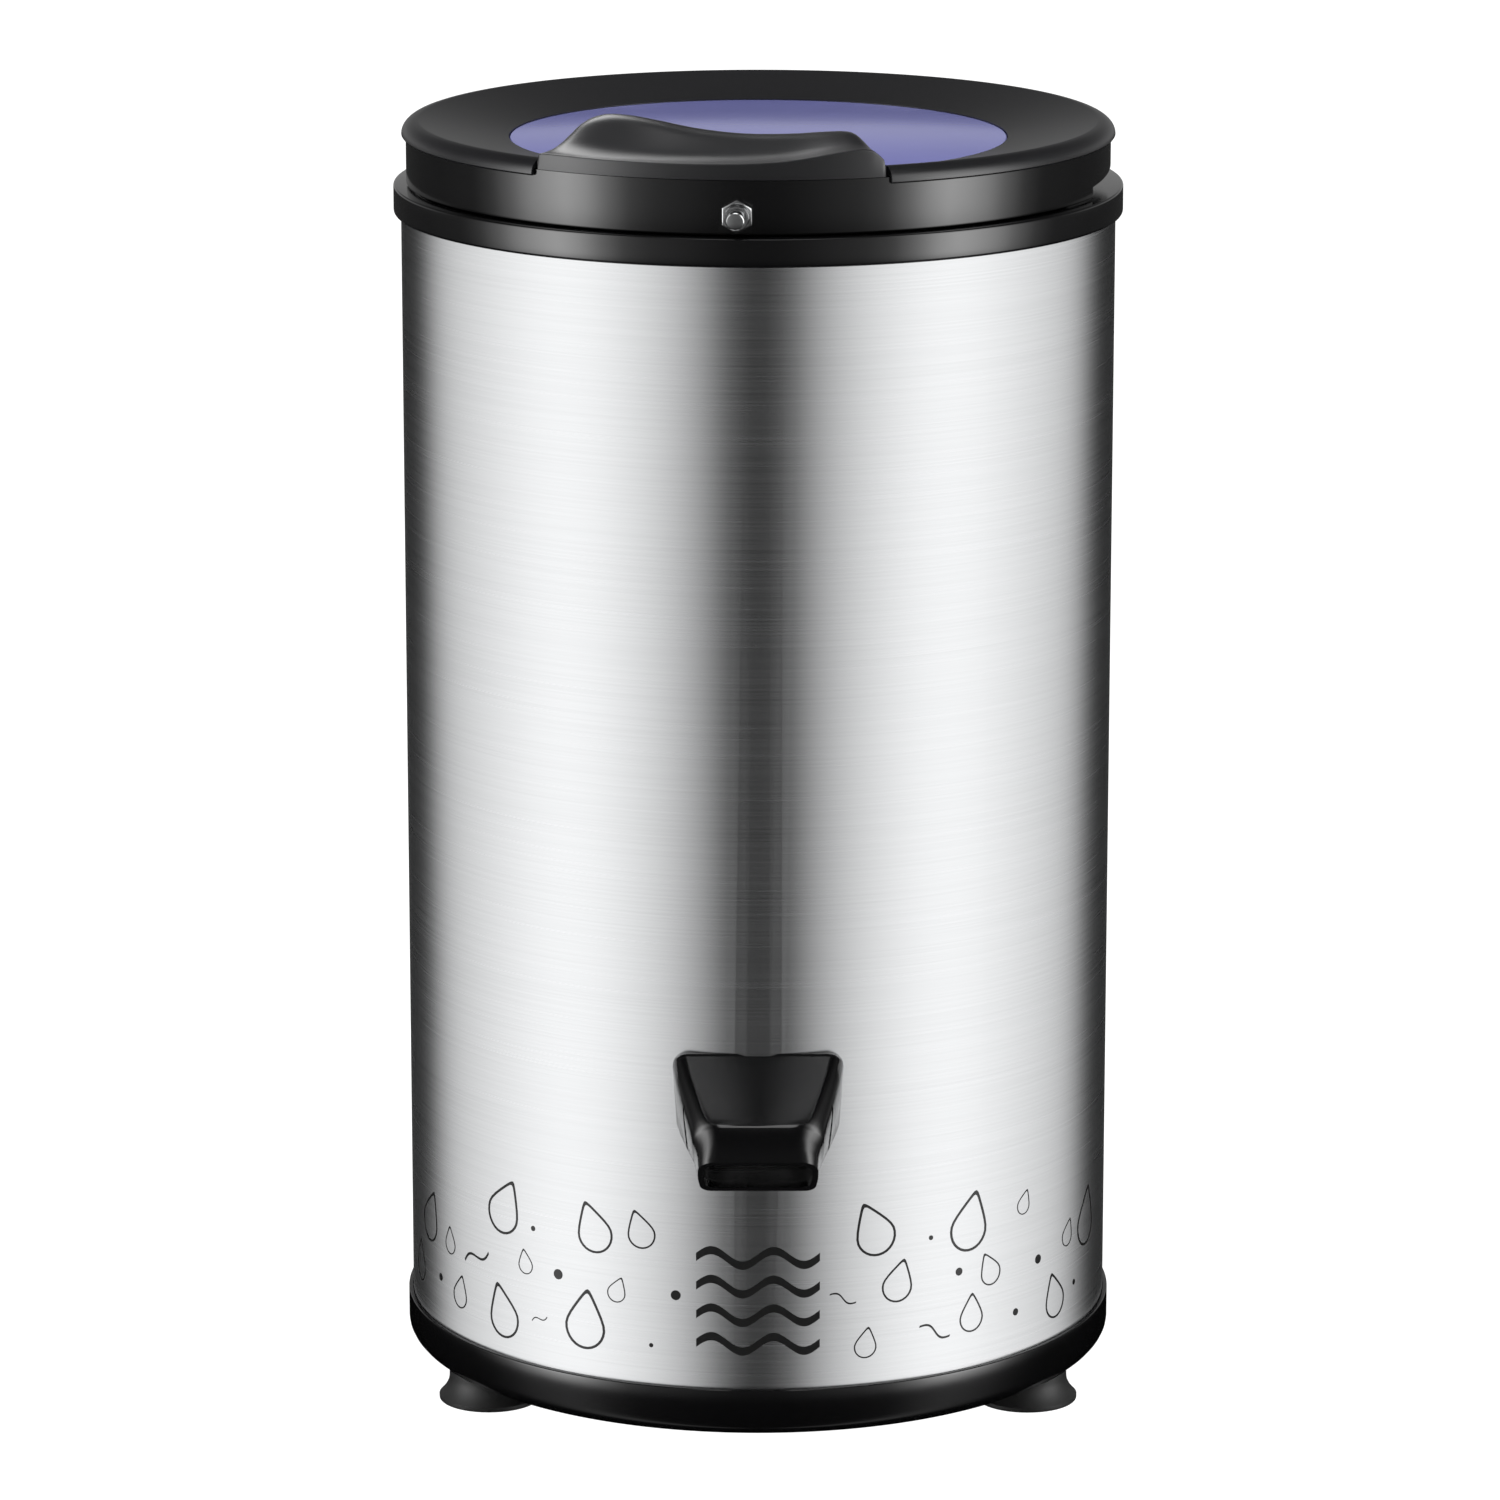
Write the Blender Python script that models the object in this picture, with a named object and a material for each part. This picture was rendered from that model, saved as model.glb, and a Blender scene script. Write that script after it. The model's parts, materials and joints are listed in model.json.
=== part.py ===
"""Spin dryer: a steel shell on a black base, with a suspended motor, a perforated drum and a hinged lid.

Metres, +Z up. The floor is z = 0 and the origin is under the middle of the whole object, so the
spin axis stands a little behind it, because the spout reaches further than the hinge.
Radii, reaches and heights are measured from the spin axis and the floor.
"""

import bmesh
import bpy
from math import cos, pi, radians, sin, tan
from mathutils import Matrix, Vector

for leftover in list(bpy.data.objects):
    bpy.data.objects.remove(leftover, do_unlink=True)

# Clearances and counts shared by all pieces
SEAT_GAP = 0.0003
RUN_GAP = 0.0003
OVERRUN = 0.004
WELD = 0.000001
WIDE_STEPS = 48
TUB_STEPS = 36
MOTOR_STEPS = 24
SMALL_STEPS = 16
SCREW_STEPS = 12
NUT_SIDES = 6
SMOOTH_ANGLE = radians(32)
HALF_TURN = 180.0

# Steel shell
SHELL_RADIUS = 0.1690
SHELL_WALL = 0.0008
SHELL_FOOT = 0.0183

# Base tray
TRAY_PROUD = 0.0022
TRAY_RADIUS = SHELL_RADIUS + TRAY_PROUD
TRAY_UNDERSIDE = 0.0110
TRAY_RIM = 0.0360
TRAY_CORNER_RUN = 0.0160
TRAY_CORNER_RISE = 0.0100
TRAY_CORNER_STEPS = 3
TRAY_FLOOR = 0.0035
TRAY_LIP = 0.0008
TRAY_LEDGE = 0.0060
VENT_RADIUS = 0.0450

# Feet
FOOT_INSET = 0.0222
FOOT_REACH = TRAY_RADIUS - FOOT_INSET
FOOT_COUNT = 3
FOOT_FIRST_ANGLE = 60.0
FOOT_RADIUS = 0.0245
FOOT_FLARE = 0.0050
FOOT_WAIST = FOOT_RADIUS - FOOT_FLARE
FOOT_TOP = 0.0170
FOOT_EDGE = 0.0012
FOOT_FLARE_HEIGHT = 0.0050
FOOT_FLARE_START = 250.0
FOOT_RECESS_MARGIN = 0.0013
FOOT_RECESS = 0.0035
FOOT_SCREW_RADIUS = 0.0025
FOOT_SCREW_MARGIN = 0.0027
FOOT_SCREW_HEAD = FOOT_SCREW_RADIUS + FOOT_SCREW_MARGIN
FOOT_SCREW_HEAD_HEIGHT = 0.0028
FOOT_SCREW_END = 0.0200
FOOT_RECESS_RADIUS = FOOT_SCREW_HEAD + FOOT_RECESS_MARGIN

# Motor plate and its three rubber mounts
MOTOR_CLEARANCE = 0.0075
MOTOR_DROP = 0.0330
MOTOR_BOTTOM = TRAY_UNDERSIDE + TRAY_FLOOR + MOTOR_CLEARANCE
PLATE_HEIGHT = MOTOR_BOTTOM + MOTOR_DROP
MOTOR_SHARE = 0.3787
MOTOR_RADIUS = SHELL_RADIUS * MOTOR_SHARE
PLATE_INSET = 0.0610
PLATE_RADIUS = SHELL_RADIUS - PLATE_INSET
PLATE_HOLE_MARGIN = 0.0010
PLATE_HOLE = MOTOR_RADIUS + PLATE_HOLE_MARGIN
PLATE_WALL = 0.0030
MOUNT_MARGIN = 0.0210
MOUNT_REACH = MOTOR_RADIUS + MOUNT_MARGIN
MOUNT_COUNT = 3
MOUNT_FIRST_ANGLE = 11.25
DAMPER_RADIUS = 0.0180
DAMPER_HOLLOW = 0.0040
DAMPER_WAIST = DAMPER_RADIUS - DAMPER_HOLLOW
DAMPER_BAND = 0.0052
BOLT_RADIUS = 0.0040
BOLT_HEAD_MARGIN = 0.0040
BOLT_HEAD_RADIUS = BOLT_RADIUS + BOLT_HEAD_MARGIN
BOLT_HEAD = 0.0050
BOLT_STAND = 0.0150
BOLT_END = PLATE_HEIGHT + BOLT_STAND
NUT_MARGIN = 0.0035
NUT_RADIUS = BOLT_RADIUS + NUT_MARGIN
NUT_HEIGHT = 0.0065

# Motor
MOTOR_WALL = 0.0030
MOTOR_RISE = 0.0930
MOTOR_TOP = PLATE_HEIGHT + MOTOR_RISE
MOTOR_FLANGE_WIDTH = 0.0120
MOTOR_FLANGE_RADIUS = MOTOR_RADIUS + MOTOR_FLANGE_WIDTH
MOTOR_FLANGE = 0.0037
SHAFT_RADIUS = 0.0090
SHAFT_SETBACK = 0.0020
SHAFT_BOTTOM = MOTOR_BOTTOM + SHAFT_SETBACK
BEARING_WALL = 0.0085
BEARING_RADIUS = SHAFT_RADIUS + BEARING_WALL
BEARING_WIDTH = 0.0100
BEARING_SEAT_WALL = 0.0032
SHAFT_HOLE_MARGIN = 0.0030
SHAFT_HOLE = SHAFT_RADIUS + SHAFT_HOLE_MARGIN
CORE_TOOTH = 0.0022
CORE_RISE = 0.0500
CORE_BOTTOM = MOTOR_BOTTOM + CORE_RISE
CORE_HEIGHT = 0.0520
WINDING_WIDTH = 0.0145
WINDING_INSET = 0.0110
WINDING_OUTER = MOTOR_RADIUS - WINDING_INSET
WINDING_HEIGHT = 0.0095
ROTOR_GAP = 0.0006
CAPACITOR_RADIUS = 0.0170
CAPACITOR_HEIGHT = 0.0670
CAPACITOR_INSET = 0.0340
CAPACITOR_REACH = SHELL_RADIUS - CAPACITOR_INSET
CAPACITOR_ANGLE = MOUNT_FIRST_ANGLE + HALF_TURN / MOUNT_COUNT
WINDING_INNER = WINDING_OUTER - WINDING_WIDTH
CORE_BORE = WINDING_INNER - CORE_TOOTH

# Brake
BRAKE_DRUM_RADIUS = 0.0500
BRAKE_DRUM_RISE = 0.0040
BRAKE_DRUM_BOTTOM = MOTOR_TOP + BRAKE_DRUM_RISE
BRAKE_DRUM_HEIGHT = 0.0140
BRAKE_DRUM_WALL = 0.0040
BRAKE_RELEASE = 0.0030
BRAKE_POST_MARGIN = 0.0085
BRAKE_POST_REACH = BRAKE_DRUM_RADIUS + BRAKE_POST_MARGIN
BRAKE_POST_RADIUS = 0.0030
BRAKE_SHOULDER = 0.0015
BRAKE_SHOULDER_RADIUS = BRAKE_POST_RADIUS + BRAKE_SHOULDER
BRAKE_LEVER_RISE = 0.0020
BRAKE_LEVER_BOTTOM = BRAKE_DRUM_BOTTOM + BRAKE_LEVER_RISE
BRAKE_LEVER_HEIGHT = 0.0100
BRAKE_LEVER_LENGTH = 0.0600
BRAKE_LEVER_MARGIN = 0.0140
BRAKE_LEVER_BACK = BRAKE_DRUM_RADIUS + BRAKE_LEVER_MARGIN
BRAKE_LEVER_HEEL = 0.0055
BRAKE_ANGLE = 200.0

# Collar, the fixed black ring that carries the lid
COLLAR_PROUD = 0.0035
COLLAR_RADIUS = SHELL_RADIUS + COLLAR_PROUD
COLLAR_TOP = 0.5800
COLLAR_DROP = 0.0132
COLLAR_EDGE = 0.0013
COLLAR_TOP_EDGE = 0.0008
COLLAR_FLANGE = 0.0028
NECK_INSET = 0.0107
NECK_RADIUS = SHELL_RADIUS - NECK_INSET
NECK_WALL = 0.0025
NECK_HEIGHT = 0.0170
FUNNEL_INSET = 0.0365
FUNNEL_RADIUS = SHELL_RADIUS - FUNNEL_INSET
FUNNEL_DEPTH = 0.0200
FUNNEL_HEAD = 0.0040
FUNNEL_WALL = 0.0023

# Tub and its drain
TUB_GAP = 0.0090
TUB_RADIUS = SHELL_RADIUS - TUB_GAP
TUB_WALL = 0.0030
TUB_CLEARANCE = 0.0060
TUB_UNDERSIDE = BRAKE_DRUM_BOTTOM + BRAKE_DRUM_HEIGHT + TUB_CLEARANCE
TUB_FLOOR = 0.0030
TUB_CORNER = 0.0080
TUB_HOLE_MARGIN = 0.0310
TUB_HOLE_RADIUS = SHAFT_RADIUS + TUB_HOLE_MARGIN
DRAIN_RISE = 0.0110
DRAIN_HEIGHT = TUB_UNDERSIDE + DRAIN_RISE
DRAIN_RADIUS = 0.0090
DRAIN_WALL = 0.0020
DRAIN_BORE = DRAIN_RADIUS - DRAIN_WALL
DRAIN_PROUD = 0.0035
DRAIN_END = SHELL_RADIUS + DRAIN_PROUD
DRAIN_BITE = 0.0015
DRAIN_ROOT = TUB_RADIUS - DRAIN_BITE
GASKET_WALL = 0.0030
GASKET_RADIUS = DRAIN_RADIUS + GASKET_WALL
GASKET_FLANGE_WIDTH = 0.0030
GASKET_FLANGE_RADIUS = GASKET_RADIUS + GASKET_FLANGE_WIDTH
GASKET_FLANGE = 0.0020
GASKET_BACK = 0.0012

# Shaft seal, a rubber bellows in the tub's floor
SEAL_FLANGE_WIDTH = 0.0040
SEAL_FLANGE_RADIUS = TUB_HOLE_RADIUS + SEAL_FLANGE_WIDTH
SEAL_FLANGE = 0.0022
SEAL_NECK = 0.0037
SEAL_LIP_GAP = 0.0007
SEAL_LIP_WALL = 0.0023
SEAL_LIP_LOW = 0.0060
SEAL_LIP_HIGH = 0.0140
SEAL_FOLD_INSET = 0.0100
SEAL_FOLD_RADIUS = TUB_HOLE_RADIUS - SEAL_FOLD_INSET

# Spout: half widths, reaches and heights of its rings
SPOUT_RISE = 0.0160
SPOUT_TOP = DRAIN_HEIGHT + SPOUT_RISE
SPOUT_BITE = 0.0090
SPOUT_ROOT_REACH = SHELL_RADIUS - SPOUT_BITE
SPOUT_HEIGHT = 0.0570
SPOUT_ROOT_BOTTOM = SPOUT_TOP - SPOUT_HEIGHT
SPOUT_SPREAD = 0.0119
SPOUT_FOOT_WIDTH_SHARE = 0.84
SPOUT_NOZZLE_HALF_WIDTH = 0.0276
SPOUT_PROUD = 0.0480
SPOUT_REACH = SHELL_RADIUS + SPOUT_PROUD
SPOUT_CREASE_SETBACK = 0.0100
SPOUT_CREASE_REACH = SPOUT_REACH - SPOUT_CREASE_SETBACK
SPOUT_CREASE_DROP = 0.0225
SPOUT_CREASE_HEIGHT = SPOUT_TOP - SPOUT_CREASE_DROP
SPOUT_RIM_DROP = 0.0360
SPOUT_RIM_TOP = SPOUT_TOP - SPOUT_RIM_DROP
SPOUT_RIM_SETBACK = 0.0120
SPOUT_RIM_REACH = SPOUT_REACH - SPOUT_RIM_SETBACK
SPOUT_RIM_HEIGHT = 0.0168
SPOUT_RIM_BOTTOM = SPOUT_RIM_TOP - SPOUT_RIM_HEIGHT
SPOUT_BELLY_SETBACK = 0.0270
SPOUT_BELLY_REACH = SPOUT_REACH - SPOUT_BELLY_SETBACK
SPOUT_BELLY_HEIGHT = 0.0325
SPOUT_BELLY_BOTTOM = SPOUT_CREASE_HEIGHT - SPOUT_BELLY_HEIGHT
SPOUT_WALL = 0.0024
SPOUT_RING_POINTS = 24
SPOUT_SQUARENESS = 4.0
SPOUT_HALF_WIDTH = SPOUT_NOZZLE_HALF_WIDTH + SPOUT_SPREAD

# Drum
DRUM_GAP = 0.0170
DRUM_RADIUS = TUB_RADIUS - TUB_WALL - DRUM_GAP
DRUM_WALL = 0.0013
DRUM_FLOOR_GAP = 0.0280
DRUM_BOTTOM = TUB_UNDERSIDE + TUB_FLOOR + DRUM_FLOOR_GAP
DRUM_TOP_GAP = 0.0300
DRUM_TOP = COLLAR_TOP - DRUM_TOP_GAP
DRUM_CORNER = 0.0045
DRUM_LIP = 0.0200
DRUM_MOUTH = DRUM_RADIUS - DRUM_LIP
DRUM_ROWS = 4
DRUM_COLUMNS = 12
DRUM_HOLE_RADIUS = 0.0032
DRUM_HOLE_SIDES = 6
DRUM_HOLE_FIRST_SHARE = 0.12
DRUM_HOLE_LAST_SHARE = 0.86
HUB_WALL = 0.0110
HUB_BOSS_RADIUS = SHAFT_RADIUS + HUB_WALL
HUB_DEPTH = 0.0230
HUB_BOTTOM = DRUM_BOTTOM - HUB_DEPTH
HUB_FLANGE_WIDTH = 0.0220
HUB_FLANGE_RADIUS = HUB_BOSS_RADIUS + HUB_FLANGE_WIDTH
HUB_FLANGE = 0.0030
HUB_CONE = 0.0027
HUB_NUT_MARGIN = 0.0075
HUB_NUT_RADIUS = SHAFT_RADIUS + HUB_NUT_MARGIN
HUB_NUT_HEIGHT = 0.0115
SHAFT_STAND = 0.0190
SHAFT_TOP = DRUM_BOTTOM + SHAFT_STAND

# Cord gland
GLAND_HEIGHT = 0.0700
GLAND_RADIUS = 0.0080
GLAND_WALL = 0.0040
GLAND_BORE = GLAND_RADIUS - GLAND_WALL
GLAND_FLANGE_WIDTH = 0.0030
GLAND_FLANGE_RADIUS = GLAND_RADIUS + GLAND_FLANGE_WIDTH
GLAND_FLANGE = 0.0024
GLAND_INNER_FLANGE = 0.0053
GLAND_INNER_GAP = 0.0009

# Lid, turned a little towards the viewer's left
LID_YAW = radians(-8.35)
LID_GAP = 0.0008
SKIRT_INSET = 0.0061
SKIRT_RADIUS = COLLAR_RADIUS - SKIRT_INSET
SKIRT_WALL = 0.0030
SKIRT_HEIGHT = 0.0255
SKIRT_TOP = COLLAR_TOP + SKIRT_HEIGHT
RELIEF_START = 0.0360
RELIEF_STEP = 0.0052
RELIEF_RISE = 0.0060
RELIEF_END_STEP = RELIEF_STEP + RELIEF_RISE
RELIEF_END = 0.0640
COVER_PROUD = 0.0021
COVER_RADIUS = SKIRT_RADIUS + COVER_PROUD
COVER_LIP_DROP = 0.0027
COVER_LIP_BOTTOM = SKIRT_TOP - COVER_LIP_DROP
COVER_RISE = 0.0047
COVER_TOP = SKIRT_TOP + COVER_RISE
COVER_LIP_ROUND = 0.0080
COVER_LIP_EDGE = 0.0008
COVER_LIP_STEPS = 5
COVER_WALL = 0.0050
COVER_DISH_DROP = 0.0084
COVER_DISH_TOP = COVER_TOP - COVER_DISH_DROP
LEDGE_WIDTH = 0.0043
LEDGE_WALL = 0.0022
WINDOW_BEDDING = 0.0014
WINDOW_INSET = 0.0510
WINDOW_RADIUS = COVER_RADIUS - WINDOW_INSET
WINDOW_TOP = COVER_DISH_TOP - SEAT_GAP
WINDOW_THICKNESS = 0.0030
WINDOW_BEVEL = 0.0012
WINDOW_GASKET_WIDTH = 0.0036
COVER_CREST_RADIUS = COVER_RADIUS - COVER_LIP_ROUND

# Handle, a sprung lever in a gap of the cover
HANDLE_HALF_ANGLE = radians(28.5)
HANDLE_GAP_ANGLE = radians(29.35)
HANDLE_DEPTH = 0.0357
HANDLE_BRIDGE_GAP = 0.0027
HANDLE_FRONT = SKIRT_RADIUS + SEAT_GAP
HANDLE_SEAT_DROP = 0.0050
HANDLE_SEAT = SKIRT_TOP - HANDLE_SEAT_DROP
HANDLE_RISE = 0.0195
HANDLE_CREST_SETBACK = 0.0110
HANDLE_RIDGE_RISE = 0.0023
HANDLE_RIDGE_SWELL = 0.0057
HANDLE_END_HEIGHT = COVER_TOP + SEAT_GAP
HANDLE_PIN_SETBACK = 0.0060
HANDLE_PIN_RISE = 0.0038
HANDLE_PIN_HEIGHT = HANDLE_SEAT + HANDLE_PIN_RISE
HANDLE_PIN_RADIUS = 0.0020
HANDLE_PIN_CAP = 0.0010
HANDLE_BOSS_MARGIN = 0.0005
HANDLE_BOSS_WIDTH = 0.0045
HANDLE_BOSS_HALF_WIDTH = 0.0030
HANDLE_BOSS_DROP = 0.0036
HANDLE_BOSS_RISE = 0.0020
HANDLE_INNER = HANDLE_FRONT - HANDLE_DEPTH
HANDLE_BRIDGE = HANDLE_INNER - HANDLE_BRIDGE_GAP
HANDLE_CREST = HANDLE_END_HEIGHT + HANDLE_RISE
HANDLE_CREST_REACH = HANDLE_INNER + HANDLE_CREST_SETBACK
HANDLE_RIDGE_LOW = HANDLE_END_HEIGHT + HANDLE_RIDGE_RISE
HANDLE_RIDGE_HIGH = HANDLE_RIDGE_LOW + HANDLE_RIDGE_SWELL
HANDLE_PIN_REACH = HANDLE_INNER + HANDLE_PIN_SETBACK
HANDLE_BOSS_START = HANDLE_PIN_REACH * tan(HANDLE_GAP_ANGLE) + HANDLE_BOSS_MARGIN
HANDLE_BOSS_END = HANDLE_BOSS_START + HANDLE_BOSS_WIDTH
HANDLE_PIN_HALF_LENGTH = HANDLE_BOSS_END - HANDLE_PIN_CAP

HANDLE_STEP_GAP = 0.0018
HANDLE_EDGE = 0.0009

# The handle's outline: shares of its half angle, each with a share of its height
CREST_SHARES = [(-1.0, 0.02), (-0.965, 0.42), (-0.87, 0.80), (-0.74, 0.97), (-0.60, 1.0), (-0.40, 0.93),
                (-0.10, 0.76), (0.20, 0.66), (0.50, 0.65), (0.80, 0.68), (0.92, 0.60), (0.975, 0.38),
                (1.0, 0.02)]
RIDGE_SHARES = [(-1.0, 0.0), (-0.965, 0.10), (-0.5, 0.02), (0.1, 0.05), (0.45, 0.30), (0.80, 1.0),
                (0.92, 0.95), (0.975, 0.40), (1.0, 0.0)]

# The handle's section from the ridge up to its crest and down its back: shares of run and of rise
FRONT_SHARES = [(0.32, 0.24), (0.68, 0.74)]
BACK_SHARES = [(0.55, 0.10), (1.0, 0.45)]

# Lock pin in the skirt's front
LOCK_ANGLE = radians(5.15)
LOCK_RISE = 0.0100
LOCK_HEIGHT = COLLAR_TOP + LOCK_RISE
LOCK_PIN_RADIUS = 0.0041
LOCK_PIN_CLEARANCE = 0.0005
LOCK_PIN_INNER = NECK_RADIUS + LOCK_PIN_CLEARANCE
LOCK_PIN_PROUD = 0.0196
LOCK_PIN_OUTER = SKIRT_RADIUS + LOCK_PIN_PROUD
LOCK_BUSH_WALL = 0.0015
LOCK_BUSH_RADIUS = LOCK_PIN_RADIUS + LOCK_BUSH_WALL
LOCK_BUSH_PROUD = 0.0096
LOCK_BUSH_OUTER = SKIRT_RADIUS + LOCK_BUSH_PROUD
LOCK_BUSH_FLANGE_WIDTH = 0.0024
LOCK_BUSH_FLANGE_RADIUS = LOCK_BUSH_RADIUS + LOCK_BUSH_FLANGE_WIDTH
LOCK_BUSH_FLANGE = 0.0019
LOCK_BUSH_DEPTH = 0.0055
LOCK_BUSH_INNER = SKIRT_RADIUS - LOCK_BUSH_DEPTH
LOCK_NUT_MARGIN = 0.0022
LOCK_NUT_RADIUS = LOCK_BUSH_RADIUS + LOCK_NUT_MARGIN
LOCK_NUT_HEIGHT = 0.0050
LOCK_HOLE_MARGIN = 0.0009
LOCK_HOLE_RADIUS = LOCK_PIN_RADIUS + LOCK_HOLE_MARGIN

# Hinge at the back
HINGE_PROUD = 0.0055
HINGE_REACH = COLLAR_RADIUS + HINGE_PROUD
HINGE_RISE = 0.0120
HINGE_HEIGHT = COLLAR_TOP + HINGE_RISE
KNUCKLE_RADIUS = 0.0060
HINGE_WIDTH_SHARE = 0.18935
HINGE_HALF_WIDTH = SHELL_RADIUS * HINGE_WIDTH_SHARE
LEAF_WIDTH_SHARE = 0.4844
LEAF_HALF_WIDTH = HINGE_HALF_WIDTH * LEAF_WIDTH_SHARE
KNUCKLE_GAP = 0.0005
HINGE_PIN_RADIUS = 0.0025
HINGE_PIN_OVERHANG = 0.0010
BRACKET_DROP = 0.0130
BRACKET_BOTTOM = COLLAR_TOP - BRACKET_DROP
BRACKET_RISE = 0.0040
BRACKET_TOP = COLLAR_TOP + BRACKET_RISE
BRACKET_SETBACK = 0.0005
BRACKET_BACK = HINGE_REACH - BRACKET_SETBACK
BRACKET_DEPTH = 0.0125
BRACKET_ROOT = COLLAR_RADIUS - BRACKET_DEPTH
ARM_INSET = 0.0012
ARM_ARC_START = -50.0
ARM_ARC_END = 215.0
LEAF_ARC_START = -135.0
LEAF_ARC_END = 150.0
HINGE_SCREW_INSET = 0.0080
HINGE_SCREW_LATERAL = HINGE_HALF_WIDTH - HINGE_SCREW_INSET
HINGE_SCREW_DROP = 0.0065
HINGE_SCREW_HEIGHT = COLLAR_TOP - HINGE_SCREW_DROP
HINGE_SCREW_RADIUS = 0.0018
HINGE_SCREW_MARGIN = 0.0018
HINGE_SCREW_HEAD = HINGE_SCREW_RADIUS + HINGE_SCREW_MARGIN
HINGE_SCREW_HEAD_HEIGHT = 0.0022
HINGE_SCREW_DEPTH = 0.0038
HINGE_SCREW_TIP = COLLAR_RADIUS - HINGE_SCREW_DEPTH
LEAF_BOTTOM = HINGE_HEIGHT - KNUCKLE_RADIUS
LEAF_RISE = 0.0095
LEAF_TOP = HINGE_HEIGHT + LEAF_RISE
LEAF_SETBACK = 0.0065
LEAF_BACK = HINGE_REACH - LEAF_SETBACK
LEAF_WEB_RISE = 0.0030
LEAF_WEB_TOP = HINGE_HEIGHT + LEAF_WEB_RISE
LEAF_SCREW_INSET = 0.0065
LEAF_SCREW_LATERAL = LEAF_HALF_WIDTH - LEAF_SCREW_INSET
LEAF_SCREW_RISE = 0.0068
LEAF_SCREW_HEIGHT = HINGE_HEIGHT + LEAF_SCREW_RISE
LEAF_SCREW_RADIUS = 0.0013
LEAF_SCREW_MARGIN = 0.0012
LEAF_SCREW_HEAD = LEAF_SCREW_RADIUS + LEAF_SCREW_MARGIN
LEAF_SCREW_HEAD_HEIGHT = 0.0018
LEAF_SCREW_DEPTH = 0.0039
LEAF_SCREW_TIP = SKIRT_RADIUS - LEAF_SCREW_DEPTH

# Heights and places that follow from the sizes above
NECK_TOP = COLLAR_TOP + NECK_HEIGHT
COLLAR_UNDERSIDE = COLLAR_TOP - COLLAR_FLANGE
WALL_TOP = COLLAR_UNDERSIDE - SEAT_GAP
TRAY_FLOOR_TOP = TRAY_UNDERSIDE + TRAY_FLOOR
TUB_FLOOR_TOP = TUB_UNDERSIDE + TUB_FLOOR
PLATE_TOP = PLATE_HEIGHT + PLATE_WALL
HINGE_WORLD_REACH = (HINGE_REACH + KNUCKLE_RADIUS) * cos(LID_YAW) - HINGE_HALF_WIDTH * sin(LID_YAW)
AXIS_Y = (SPOUT_REACH - HINGE_WORLD_REACH) / 2

# Finishes: colour, roughness, metallic and alpha
FINISHES = {
    "brushed_steel": ((0.55, 0.55, 0.56), 0.30, 1.0, 1.0),
    "gloss_black": ((0.010, 0.010, 0.011), 0.12, 0.0, 1.0),
    "satin_black": ((0.022, 0.022, 0.023), 0.38, 0.0, 1.0),
    "black_rubber": ((0.015, 0.015, 0.015), 0.70, 0.0, 1.0),
    "violet_glass": ((0.120, 0.115, 0.330), 0.12, 0.0, 0.6),
    "bright_steel": ((0.60, 0.60, 0.61), 0.22, 1.0, 1.0),
    "zinc_steel": ((0.42, 0.43, 0.44), 0.42, 1.0, 1.0),
    "grey_plastic": ((0.33, 0.34, 0.35), 0.45, 0.0, 1.0),
    "cast_aluminium": ((0.48, 0.48, 0.49), 0.50, 1.0, 1.0),
    "copper": ((0.55, 0.22, 0.10), 0.40, 1.0, 1.0),
    "lamination": ((0.20, 0.20, 0.21), 0.50, 1.0, 1.0),
}


def paint(piece, finish):
    """Gives a piece its own Principled material."""
    colour, roughness, metallic, alpha = FINISHES[finish]
    material = bpy.data.materials.new(piece.name + "_" + finish)
    material.use_nodes = True
    shader = material.node_tree.nodes["Principled BSDF"]
    shader.inputs["Base Color"].default_value = (*colour, 1.0)
    shader.inputs["Roughness"].default_value = roughness
    shader.inputs["Metallic"].default_value = metallic
    shader.inputs["Alpha"].default_value = alpha
    piece.data.materials.append(material)


def pivot(name, parent, place, turn=0.0):
    """An empty on a joint's axis, or one that turns the pieces it carries about Z."""
    empty = bpy.data.objects.new(name, None)
    bpy.context.collection.objects.link(empty)
    bpy.context.view_layer.update()
    frame = parent.matrix_world if parent else Matrix.Identity(4)
    empty.parent = parent
    empty.matrix_world = frame @ Matrix.Translation(place) @ Matrix.Rotation(turn, 4, "Z")
    bpy.context.view_layer.update()
    return empty


def place(shape, name, frame, carrier=None):
    """Makes an object of a bmesh drawn in the frame's coordinates, carried by the carrier."""
    mesh = bpy.data.meshes.new(name)
    shape.to_mesh(mesh)
    shape.free()
    mesh.shade_smooth()
    mesh.set_sharp_from_angle(angle=SMOOTH_ANGLE)
    piece = bpy.data.objects.new(name, mesh)
    bpy.context.collection.objects.link(piece)
    carrier = carrier or frame
    piece.parent = carrier
    piece.matrix_parent_inverse = carrier.matrix_world.inverted() @ frame.matrix_world
    return piece


def turned(profile, steps, reaches_axis=False):
    """Spins a (radius, height) profile once about Z; one that reaches the axis stays open there."""
    shape = bmesh.new()
    corners = [shape.verts.new((radius, 0, height)) for radius, height in profile]
    edges = [shape.edges.new(pair) for pair in zip(corners, corners[1:])]
    if not reaches_axis:
        edges.append(shape.edges.new((corners[-1], corners[0])))
    bmesh.ops.spin(shape, geom=corners + edges, cent=(0, 0, 0), axis=(0, 0, 1), dvec=(0, 0, 0),
                   angle=2 * pi, steps=steps, use_merge=True)
    bmesh.ops.remove_doubles(shape, verts=shape.verts, dist=WELD)
    bmesh.ops.recalc_face_normals(shape, faces=shape.faces)
    return shape


def moved(shape, x=0.0, y=0.0, z=0.0):
    """Shifts a bmesh."""
    bmesh.ops.translate(shape, verts=shape.verts, vec=(x, y, z))
    return shape


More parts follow.
